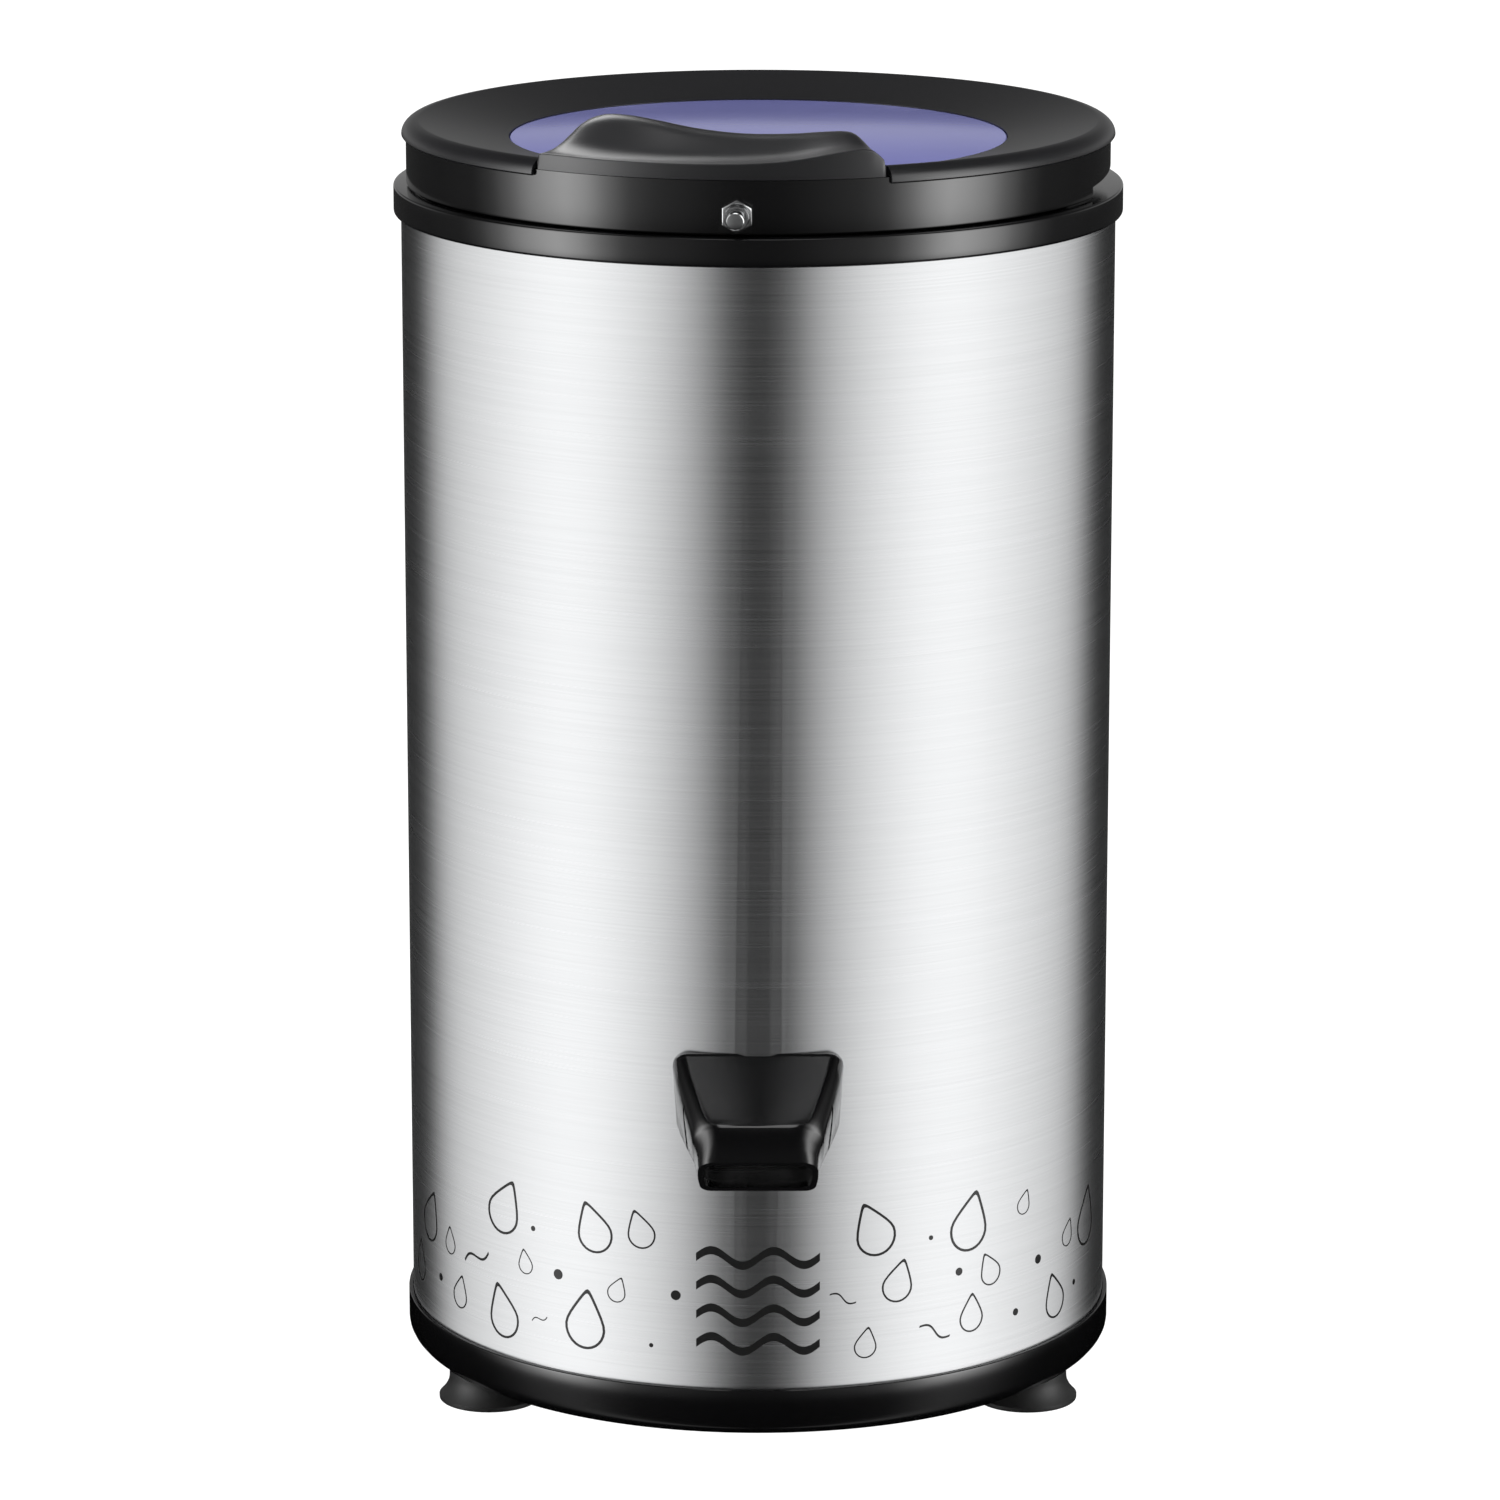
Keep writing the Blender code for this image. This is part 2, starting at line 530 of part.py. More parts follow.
def aimed(shape, direction):
    """Turns a bmesh drawn along +Z so that +Z points along the direction."""
    turn = Vector((0, 0, 1)).rotation_difference(Vector(direction)).to_matrix()
    bmesh.ops.rotate(shape, verts=shape.verts, cent=(0, 0, 0), matrix=turn)
    return shape


def block(low, high):
    """A box between two corners."""
    shape = bmesh.new()
    bmesh.ops.create_cube(shape, size=1.0)
    size = [top - bottom for bottom, top in zip(low, high)]
    middle = [(top + bottom) / 2 for bottom, top in zip(low, high)]
    bmesh.ops.scale(shape, verts=shape.verts, vec=size)
    bmesh.ops.translate(shape, verts=shape.verts, vec=middle)
    return shape


def rod(radius, start, end, steps=SMALL_STEPS):
    """A plain cylinder along Z."""
    return turned([(0, start), (radius, start), (radius, end), (0, end)], steps, reaches_axis=True)


def tube(bore, radius, start, end, steps=SMALL_STEPS):
    """A cylinder along Z with a bore."""
    return turned([(bore, start), (radius, start), (radius, end), (bore, end)], steps)


def prism(outline, low, high):
    """An outline of (y, z) points drawn out across X between two places."""
    shape = bmesh.new()
    near = [shape.verts.new((low, y, z)) for y, z in outline]
    far = [shape.verts.new((high, y, z)) for y, z in outline]
    shape.faces.new(near)
    shape.faces.new(far)
    count = len(outline)
    for index in range(count):
        beside = (index + 1) % count
        shape.faces.new((near[index], near[beside], far[beside], far[index]))
    bmesh.ops.recalc_face_normals(shape, faces=shape.faces)
    return shape


def helper(shape, name, frame):
    """A shape that only cuts or adds to another piece."""
    guide = place(shape, name, frame)
    guide.hide_render = True
    guide.display_type = "WIRE"
    return guide


def combine(piece, guide, operation):
    """A Boolean modifier on the piece."""
    modifier = piece.modifiers.new(guide.name, "BOOLEAN")
    modifier.operation = operation
    modifier.solver = "EXACT"
    modifier.object = guide


def cut(piece, shape, name, frame):
    """Cuts a shape out of a piece."""
    combine(piece, helper(shape, name, frame), "DIFFERENCE")


def add(piece, shape, name, frame):
    """Joins a shape to a piece."""
    combine(piece, helper(shape, name, frame), "UNION")


def around(count, first_angle=0.0):
    """Evenly spaced angles in radians."""
    return [radians(first_angle) + 2 * pi * index / count for index in range(count)]


def spot(reach, angle, height=0.0):
    """A point at an angle from the front, growing towards the viewer's right."""
    return Vector((reach * sin(angle), -reach * cos(angle), height))


def arc(centre, run, rise, start, end, steps):
    """Points on a quarter or part of an ellipse, in degrees."""
    points = []
    for index in range(steps + 1):
        angle = radians(start + (end - start) * index / steps)
        points.append((centre[0] + run * cos(angle), centre[1] + rise * sin(angle)))
    return points


def make_shell(spin_axis):
    """The brushed steel casing, rolled into a tube, with holes for the drain and the cord."""
    inner = SHELL_RADIUS - SHELL_WALL
    shell = place(tube(inner, SHELL_RADIUS, SHELL_FOOT, WALL_TOP, WIDE_STEPS), "outer_shell", spin_axis)
    paint(shell, "brushed_steel")
    drain_hole = rod(GASKET_RADIUS + SEAT_GAP, DRAIN_ROOT, SHELL_RADIUS + OVERRUN)
    cut(shell, moved(aimed(drain_hole, (0, -1, 0)), z=DRAIN_HEIGHT), "shell_drain_hole", spin_axis)
    gland_hole = rod(GLAND_RADIUS + SEAT_GAP, DRAIN_ROOT, SHELL_RADIUS + OVERRUN)
    cut(shell, moved(aimed(gland_hole, (0, 1, 0)), z=GLAND_HEIGHT), "shell_gland_hole", spin_axis)


def tray_outline(offset=0.0):
    """The tray's outside from the underside up its rounded corner, grown by an offset."""
    centre = (TRAY_RADIUS - TRAY_CORNER_RUN, TRAY_UNDERSIDE + TRAY_CORNER_RISE)
    return arc(centre, TRAY_CORNER_RUN + offset, TRAY_CORNER_RISE + offset, -HALF_TURN / 2, 0,
               TRAY_CORNER_STEPS)


def make_tray(spin_axis):
    """The moulded base: a rim round the shell, a ledge under it and a vented floor."""
    bore = SHELL_RADIUS + SEAT_GAP
    ledge_top = SHELL_FOOT - SEAT_GAP
    profile = [(VENT_RADIUS, TRAY_UNDERSIDE)]
    profile += tray_outline()
    profile += [
        (TRAY_RADIUS, TRAY_RIM - TRAY_LIP),
        (TRAY_RADIUS - TRAY_LIP, TRAY_RIM),
        (bore, TRAY_RIM),
        (bore, ledge_top),
        (bore - TRAY_LEDGE, ledge_top),
        (bore - TRAY_LEDGE, TRAY_FLOOR_TOP),
        (VENT_RADIUS, TRAY_FLOOR_TOP),
    ]
    tray = place(turned(profile, WIDE_STEPS), "base_tray", spin_axis)
    paint(tray, "gloss_black")
    for index, angle in enumerate(around(FOOT_COUNT, FOOT_FIRST_ANGLE)):
        hole = rod(FOOT_SCREW_RADIUS + SEAT_GAP, TRAY_UNDERSIDE - OVERRUN, TRAY_FLOOR_TOP + OVERRUN,
                   SCREW_STEPS)
        centre = spot(FOOT_REACH, angle)
        cut(tray, moved(hole, centre.x, centre.y), f"tray_foot_hole_{index + 1}", spin_axis)
    for index, angle in enumerate(around(MOUNT_COUNT, MOUNT_FIRST_ANGLE)):
        hole = rod(BOLT_RADIUS + SEAT_GAP, TRAY_UNDERSIDE - OVERRUN, TRAY_FLOOR_TOP + OVERRUN, SCREW_STEPS)
        centre = spot(MOUNT_REACH, angle)
        cut(tray, moved(hole, centre.x, centre.y), f"tray_bolt_hole_{index + 1}", spin_axis)


def foot_profile():
    """A bell: a wide pad, a concave flare and a straight top, round a stepped screw hole."""
    neck_foot = FOOT_TOP - FOOT_FLARE_HEIGHT
    flare = arc((FOOT_RADIUS, neck_foot), FOOT_FLARE, neck_foot - FOOT_EDGE * 2, FOOT_FLARE_START, HALF_TURN,
                TRAY_CORNER_STEPS)
    return [
        (FOOT_RECESS_RADIUS, 0),
        (FOOT_RADIUS - FOOT_EDGE, 0),
        (FOOT_RADIUS, FOOT_EDGE),
        *flare,
        (FOOT_WAIST, FOOT_TOP),
        (FOOT_SCREW_RADIUS + SEAT_GAP, FOOT_TOP),
        (FOOT_SCREW_RADIUS + SEAT_GAP, FOOT_RECESS),
        (FOOT_RECESS_RADIUS, FOOT_RECESS),
    ]


def make_feet(spin_axis):
    """Three rubber feet whose tops fit the tray's rounded corner, each held by a screw."""
    tray_space = [(0, TRAY_UNDERSIDE - SEAT_GAP)]
    tray_space += tray_outline(SEAT_GAP)
    tray_space += [(TRAY_RADIUS + SEAT_GAP, TRAY_RIM), (0, TRAY_RIM)]
    for index, angle in enumerate(around(FOOT_COUNT, FOOT_FIRST_ANGLE)):
        centre = spot(FOOT_REACH, angle)
        foot_shape = moved(turned(foot_profile(), SMALL_STEPS), centre.x, centre.y)
        foot = place(foot_shape, f"foot_{index + 1}", spin_axis)
        paint(foot, "black_rubber")
        cut(foot, turned(tray_space, WIDE_STEPS, reaches_axis=True), f"foot_top_{index + 1}", spin_axis)
        head_top = FOOT_RECESS - SEAT_GAP
        profile = [
            (0, head_top - FOOT_SCREW_HEAD_HEIGHT),
            (FOOT_SCREW_HEAD, head_top - FOOT_SCREW_HEAD_HEIGHT),
            (FOOT_SCREW_HEAD, head_top),
            (FOOT_SCREW_RADIUS, head_top),
            (FOOT_SCREW_RADIUS, FOOT_SCREW_END),
            (0, FOOT_SCREW_END),
        ]
        screw_shape = moved(turned(profile, SCREW_STEPS, reaches_axis=True), centre.x, centre.y)
        paint(place(screw_shape, f"foot_screw_{index + 1}", spin_axis), "zinc_steel")


def make_collar(spin_axis, lid_frame):
    """The fixed ring over the shell: a flange, a neck inside the lid and a funnel over the drum."""
    neck_inner = NECK_RADIUS - NECK_WALL
    bore = SHELL_RADIUS + SEAT_GAP
    skirt_bottom = COLLAR_TOP - COLLAR_DROP
    funnel_top = COLLAR_TOP + FUNNEL_HEAD
    funnel_bottom = COLLAR_TOP - FUNNEL_DEPTH
    slope = (funnel_top - funnel_bottom) / (neck_inner - FUNNEL_RADIUS)
    under_funnel = FUNNEL_RADIUS + FUNNEL_WALL
    meeting = under_funnel + (COLLAR_UNDERSIDE - funnel_bottom) / slope
    profile = [
        (bore, skirt_bottom),
        (COLLAR_RADIUS - COLLAR_EDGE, skirt_bottom),
        (COLLAR_RADIUS, skirt_bottom + COLLAR_EDGE),
        (COLLAR_RADIUS, COLLAR_TOP - COLLAR_TOP_EDGE),
        (COLLAR_RADIUS - COLLAR_TOP_EDGE, COLLAR_TOP),
        (NECK_RADIUS, COLLAR_TOP),
        (NECK_RADIUS, NECK_TOP),
        (neck_inner, NECK_TOP),
        (neck_inner, funnel_top),
        (FUNNEL_RADIUS, funnel_bottom),
        (FUNNEL_RADIUS, funnel_bottom - FUNNEL_WALL),
        (under_funnel, funnel_bottom - FUNNEL_WALL),
        (under_funnel, funnel_bottom),
        (meeting, COLLAR_UNDERSIDE),
        (bore, COLLAR_UNDERSIDE),
    ]
    collar = place(turned(profile, WIDE_STEPS), "collar", spin_axis)
    paint(collar, "gloss_black")
    lock_hole = rod(LOCK_HOLE_RADIUS, neck_inner - OVERRUN, NECK_RADIUS + RUN_GAP, SCREW_STEPS)
    lock_hole = moved(aimed(lock_hole, spot(1, LOCK_ANGLE)), z=LOCK_HEIGHT)
    cut(collar, lock_hole, "collar_lock_hole", lid_frame)
    for side in (-1, 1):
        hole = rod(HINGE_SCREW_RADIUS + SEAT_GAP, HINGE_SCREW_TIP - OVERRUN, BRACKET_BACK, SCREW_STEPS)
        hole = moved(aimed(hole, (0, 1, 0)), x=side * HINGE_SCREW_LATERAL, z=HINGE_SCREW_HEIGHT)
        cut(collar, hole, f"collar_screw_hole_{side}", lid_frame)


def make_tub(spin_axis):
    """The water tub that hangs from the collar, its drain pipe, gasket and shaft seal."""
    inner = TUB_RADIUS - TUB_WALL
    profile = [
        (TUB_HOLE_RADIUS, TUB_UNDERSIDE),
        (TUB_RADIUS - TUB_CORNER, TUB_UNDERSIDE),
        (TUB_RADIUS, TUB_UNDERSIDE + TUB_CORNER),
        (TUB_RADIUS, WALL_TOP),
        (inner, WALL_TOP),
        (inner, TUB_FLOOR_TOP + TUB_CORNER - TUB_WALL / 2),
        (inner - TUB_CORNER + TUB_WALL / 2, TUB_FLOOR_TOP),
        (TUB_HOLE_RADIUS, TUB_FLOOR_TOP),
    ]
    tub = place(turned(profile, TUB_STEPS), "tub", spin_axis)
    paint(tub, "grey_plastic")
    pipe = moved(aimed(rod(DRAIN_RADIUS, DRAIN_ROOT, DRAIN_END), (0, -1, 0)), z=DRAIN_HEIGHT)
    add(tub, pipe, "tub_drain_pipe", spin_axis)
    bore = rod(DRAIN_BORE, inner - TUB_CORNER, DRAIN_END + OVERRUN)
    cut(tub, moved(aimed(bore, (0, -1, 0)), z=DRAIN_HEIGHT), "tub_drain_bore", spin_axis)

    flange_front = SHELL_RADIUS - SHELL_WALL - GASKET_BACK
    gasket_profile = [
        (DRAIN_RADIUS + SEAT_GAP, flange_front - GASKET_FLANGE),
        (GASKET_FLANGE_RADIUS, flange_front - GASKET_FLANGE),
        (GASKET_FLANGE_RADIUS, flange_front),
        (GASKET_RADIUS, flange_front),
        (GASKET_RADIUS, SHELL_RADIUS),
        (DRAIN_RADIUS + SEAT_GAP, SHELL_RADIUS),
    ]
    gasket_shape = moved(aimed(turned(gasket_profile, SMALL_STEPS), (0, -1, 0)), z=DRAIN_HEIGHT)
    paint(place(gasket_shape, "drain_gasket", spin_axis), "black_rubber")

    lip = HUB_BOSS_RADIUS + SEAL_LIP_GAP
    lip_low = TUB_UNDERSIDE + SEAL_LIP_LOW
    lip_high = TUB_UNDERSIDE + SEAL_LIP_HIGH
    neck = TUB_HOLE_RADIUS - SEAT_GAP
    seal_profile = [
        (lip, lip_high),
        (lip, lip_low),
        (SEAL_FOLD_RADIUS, TUB_UNDERSIDE),
        (neck - SEAL_NECK, TUB_UNDERSIDE - SEAT_GAP - SEAL_FLANGE),
        (SEAL_FLANGE_RADIUS, TUB_UNDERSIDE - SEAT_GAP - SEAL_FLANGE),
        (SEAL_FLANGE_RADIUS, TUB_UNDERSIDE - SEAT_GAP),
        (neck, TUB_UNDERSIDE - SEAT_GAP),
        (neck, TUB_FLOOR_TOP + SEAT_GAP),
        (SEAL_FLANGE_RADIUS, TUB_FLOOR_TOP + SEAT_GAP),
        (SEAL_FLANGE_RADIUS, TUB_FLOOR_TOP + SEAT_GAP + SEAL_FLANGE),
        (neck - SEAL_NECK, TUB_FLOOR_TOP + SEAT_GAP + SEAL_FLANGE),
        (SEAL_FOLD_RADIUS, TUB_FLOOR_TOP + SEAT_GAP),
        (lip + SEAL_LIP_WALL, lip_low + SEAL_FLANGE),
        (lip + SEAL_LIP_WALL, lip_high),
    ]
    paint(place(turned(seal_profile, MOTOR_STEPS), "shaft_seal", spin_axis), "black_rubber")


def spout_ring(reach_top, height_top, reach_bottom, height_bottom, half_top, half_bottom):
    """One rounded ring of the spout, from its upper edge to its lower edge."""
    points = []
    power = 2 / SPOUT_SQUARENESS
    for index in range(SPOUT_RING_POINTS):
        angle = 2 * pi * index / SPOUT_RING_POINTS
        across = abs(cos(angle)) ** power * (1 if cos(angle) > 0 else -1)
        down = (1 - abs(sin(angle)) ** power * (1 if sin(angle) > 0 else -1)) / 2
        half = half_top + (half_bottom - half_top) * down
        reach = reach_top + (reach_bottom - reach_top) * down
        height = height_top + (height_bottom - height_top) * down
        points.append((across * half, -reach, height))
    return points


def make_spout(spin_axis):
    """The black drain hood: wide at the shell, narrowing to a nozzle that faces down and forward."""
    rings = [
        spout_ring(SPOUT_ROOT_REACH, SPOUT_TOP, SPOUT_ROOT_REACH, SPOUT_ROOT_BOTTOM,
                   SPOUT_HALF_WIDTH, SPOUT_HALF_WIDTH * SPOUT_FOOT_WIDTH_SHARE),
        spout_ring(SHELL_RADIUS, SPOUT_TOP, SHELL_RADIUS, SPOUT_ROOT_BOTTOM,
                   SPOUT_HALF_WIDTH, SPOUT_HALF_WIDTH * SPOUT_FOOT_WIDTH_SHARE),
        spout_ring(SPOUT_CREASE_REACH, SPOUT_CREASE_HEIGHT, SPOUT_BELLY_REACH, SPOUT_BELLY_BOTTOM,
                   SPOUT_NOZZLE_HALF_WIDTH, SPOUT_NOZZLE_HALF_WIDTH),
        spout_ring(SPOUT_REACH, SPOUT_RIM_TOP, SPOUT_RIM_REACH, SPOUT_RIM_BOTTOM,
                   SPOUT_NOZZLE_HALF_WIDTH, SPOUT_NOZZLE_HALF_WIDTH),
    ]
    shape = bmesh.new()
    loops = [[shape.verts.new(point) for point in ring] for ring in rings]
    for ring, following in zip(loops, loops[1:]):
        for index in range(SPOUT_RING_POINTS):
            beside = (index + 1) % SPOUT_RING_POINTS
            shape.faces.new((ring[index], ring[beside], following[beside], following[index]))
    bmesh.ops.recalc_face_normals(shape, faces=shape.faces)
    middle = Vector((0, -SPOUT_BELLY_REACH, DRAIN_HEIGHT))
    first = shape.faces[:][-1]
    if first.normal.dot(first.calc_center_median() - middle) < 0:
        bmesh.ops.reverse_faces(shape, faces=shape.faces)
    spout = place(shape, "spout", spin_axis)
    wall = spout.modifiers.new("wall", "SOLIDIFY")
    wall.thickness = SPOUT_WALL
    wall.offset = -1
    wall.use_even_offset = True
    shell_space = rod(SHELL_RADIUS + SEAT_GAP, SPOUT_ROOT_BOTTOM - OVERRUN, SPOUT_TOP + OVERRUN, WIDE_STEPS)
    cut(spout, shell_space, "spout_shell_space", spin_axis)
    paint(spout, "gloss_black")


def make_gland(spin_axis):
    """The rubber bush where the mains cord enters at the back."""
    inner_face = SHELL_RADIUS - SHELL_WALL - GLAND_INNER_GAP
    outer_face = SHELL_RADIUS + SEAT_GAP
    profile = [
        (GLAND_BORE, inner_face - GLAND_INNER_FLANGE),
        (GLAND_FLANGE_RADIUS, inner_face - GLAND_INNER_FLANGE),
        (GLAND_FLANGE_RADIUS, inner_face),
        (GLAND_RADIUS, inner_face),
        (GLAND_RADIUS, outer_face),
        (GLAND_FLANGE_RADIUS, outer_face),
        (GLAND_FLANGE_RADIUS, outer_face + GLAND_FLANGE),
        (GLAND_BORE, outer_face + GLAND_FLANGE),
    ]
    gland = moved(aimed(turned(profile, SMALL_STEPS), (0, 1, 0)), z=GLAND_HEIGHT)
    paint(place(gland, "cord_gland", spin_axis), "black_rubber")


def make_motor_mounts(spin_axis):
    """The motor plate on three rubber dampers, each with a bolt and a nut."""
    plate = place(tube(PLATE_HOLE, PLATE_RADIUS, PLATE_HEIGHT, PLATE_TOP, MOTOR_STEPS), "motor_plate",
                  spin_axis)
    paint(plate, "zinc_steel")
    damper_top = PLATE_HEIGHT - SEAT_GAP
    damper_bottom = TRAY_FLOOR_TOP + SEAT_GAP
    for index, angle in enumerate(around(MOUNT_COUNT, MOUNT_FIRST_ANGLE)):
        centre = spot(MOUNT_REACH, angle)
        hole = rod(BOLT_RADIUS + SEAT_GAP, PLATE_HEIGHT - OVERRUN, PLATE_TOP + OVERRUN, SCREW_STEPS)
        cut(plate, moved(hole, centre.x, centre.y), f"plate_bolt_hole_{index + 1}", spin_axis)
        damper_profile = [
            (BOLT_RADIUS + SEAT_GAP, damper_bottom),
            (DAMPER_RADIUS, damper_bottom),
            (DAMPER_RADIUS, damper_bottom + DAMPER_BAND),
            (DAMPER_WAIST, (damper_bottom + damper_top) / 2),
            (DAMPER_RADIUS, damper_top - DAMPER_BAND),
            (DAMPER_RADIUS, damper_top),
            (BOLT_RADIUS + SEAT_GAP, damper_top),
        ]
        damper = moved(turned(damper_profile, SMALL_STEPS), centre.x, centre.y)
        paint(place(damper, f"damper_{index + 1}", spin_axis), "black_rubber")
        head_top = TRAY_UNDERSIDE - SEAT_GAP
        bolt_profile = [
            (0, head_top - BOLT_HEAD),
            (BOLT_HEAD_RADIUS, head_top - BOLT_HEAD),
            (BOLT_HEAD_RADIUS, head_top),
            (BOLT_RADIUS, head_top),
            (BOLT_RADIUS, BOLT_END),
            (0, BOLT_END),
        ]
        bolt = moved(turned(bolt_profile, SCREW_STEPS, reaches_axis=True), centre.x, centre.y)
        paint(place(bolt, f"damper_bolt_{index + 1}", spin_axis), "zinc_steel")
        nut_bottom = PLATE_TOP + SEAT_GAP
        nut = hex_nut(BOLT_RADIUS + SEAT_GAP, NUT_RADIUS, nut_bottom, nut_bottom + NUT_HEIGHT)
        nut = moved(nut, centre.x, centre.y)
        paint(place(nut, f"damper_nut_{index + 1}", spin_axis), "zinc_steel")


def hex_nut(bore, corner_radius, start, end):
    """A hexagon along Z with a round bore, bridged between its outline and the hole."""
    shape = bmesh.new()
    loops = []
    hole = bore / cos(pi / SCREW_STEPS)
    for level in (start, end):
        outer = []
        inner = []
        for index in range(SCREW_STEPS):
            angle = 2 * pi * index / SCREW_STEPS
            flat = corner_radius if index % 2 == 0 else corner_radius * cos(pi / NUT_SIDES)
            outer.append(shape.verts.new((flat * cos(angle), flat * sin(angle), level)))
            inner.append(shape.verts.new((hole * cos(angle), hole * sin(angle), level)))
        loops.append((outer, inner))
    (low_outer, low_inner), (high_outer, high_inner) = loops
    for near, far in ((low_outer, high_outer), (low_inner, high_inner), (low_outer, low_inner),
                      (high_outer, high_inner)):
        for index in range(SCREW_STEPS):
            beside = (index + 1) % SCREW_STEPS
            shape.faces.new((near[index], near[beside], far[beside], far[index]))
    bmesh.ops.recalc_face_normals(shape, faces=shape.faces)
    return shape


def make_motor(spin_axis):
    """The motor's two cases, laminated core, windings, bearings and capacitor."""
    joint = PLATE_TOP + SEAT_GAP
    inner = MOTOR_RADIUS - MOTOR_WALL
    seat_bore = BEARING_RADIUS + SEAT_GAP
    seat_outer = seat_bore + BEARING_SEAT_WALL
    floor_top = MOTOR_BOTTOM + MOTOR_WALL
    ceiling = MOTOR_TOP - MOTOR_WALL
    lower = [
        (SHAFT_HOLE, MOTOR_BOTTOM),
        (MOTOR_RADIUS, MOTOR_BOTTOM),
        (MOTOR_RADIUS, PLATE_TOP),
        (inner, PLATE_TOP),
        (inner, floor_top),
        (seat_outer, floor_top),
        (seat_outer, floor_top + BEARING_WIDTH),
        (seat_bore, floor_top + BEARING_WIDTH),
        (seat_bore, floor_top),
        (SHAFT_HOLE, floor_top),
    ]
    upper = [
        (inner, joint),
        (MOTOR_FLANGE_RADIUS, joint),
        (MOTOR_FLANGE_RADIUS, joint + MOTOR_FLANGE),
        (MOTOR_RADIUS, joint + MOTOR_FLANGE),
        (MOTOR_RADIUS, MOTOR_TOP),
        (SHAFT_HOLE, MOTOR_TOP),
        (SHAFT_HOLE, ceiling),
        (seat_bore, ceiling),
        (seat_bore, ceiling - BEARING_WIDTH),
        (seat_outer, ceiling - BEARING_WIDTH),
        (seat_outer, ceiling),
        (inner, ceiling),
    ]
    paint(place(turned(lower, MOTOR_STEPS), "motor_case_lower", spin_axis), "cast_aluminium")
    paint(place(turned(upper, MOTOR_STEPS), "motor_case_upper", spin_axis), "cast_aluminium")
    core_top = CORE_BOTTOM + CORE_HEIGHT
    core = tube(CORE_BORE, inner - SEAT_GAP, CORE_BOTTOM, core_top, MOTOR_STEPS)
    paint(place(core, "stator_core", spin_axis), "lamination")
    upper_winding = core_top + SEAT_GAP
    lower_winding = CORE_BOTTOM - SEAT_GAP - WINDING_HEIGHT
    for name, start in (("winding_upper", upper_winding), ("winding_lower", lower_winding)):
        winding = tube(WINDING_INNER, WINDING_OUTER, start, start + WINDING_HEIGHT, MOTOR_STEPS)
        paint(place(winding, name, spin_axis), "copper")
    bearing_bore = SHAFT_RADIUS + RUN_GAP
    for name, start in (("bearing_lower", floor_top + SEAT_GAP),
                        ("bearing_upper", ceiling - SEAT_GAP - BEARING_WIDTH)):
        bearing = tube(bearing_bore, BEARING_RADIUS, start, start + BEARING_WIDTH)
        paint(place(bearing, name, spin_axis), "bright_steel")
    centre = spot(CAPACITOR_REACH, radians(CAPACITOR_ANGLE))
    bottom = TRAY_FLOOR_TOP + SEAT_GAP
    can = moved(rod(CAPACITOR_RADIUS, bottom, bottom + CAPACITOR_HEIGHT), centre.x, centre.y)
    paint(place(can, "capacitor", spin_axis), "grey_plastic")


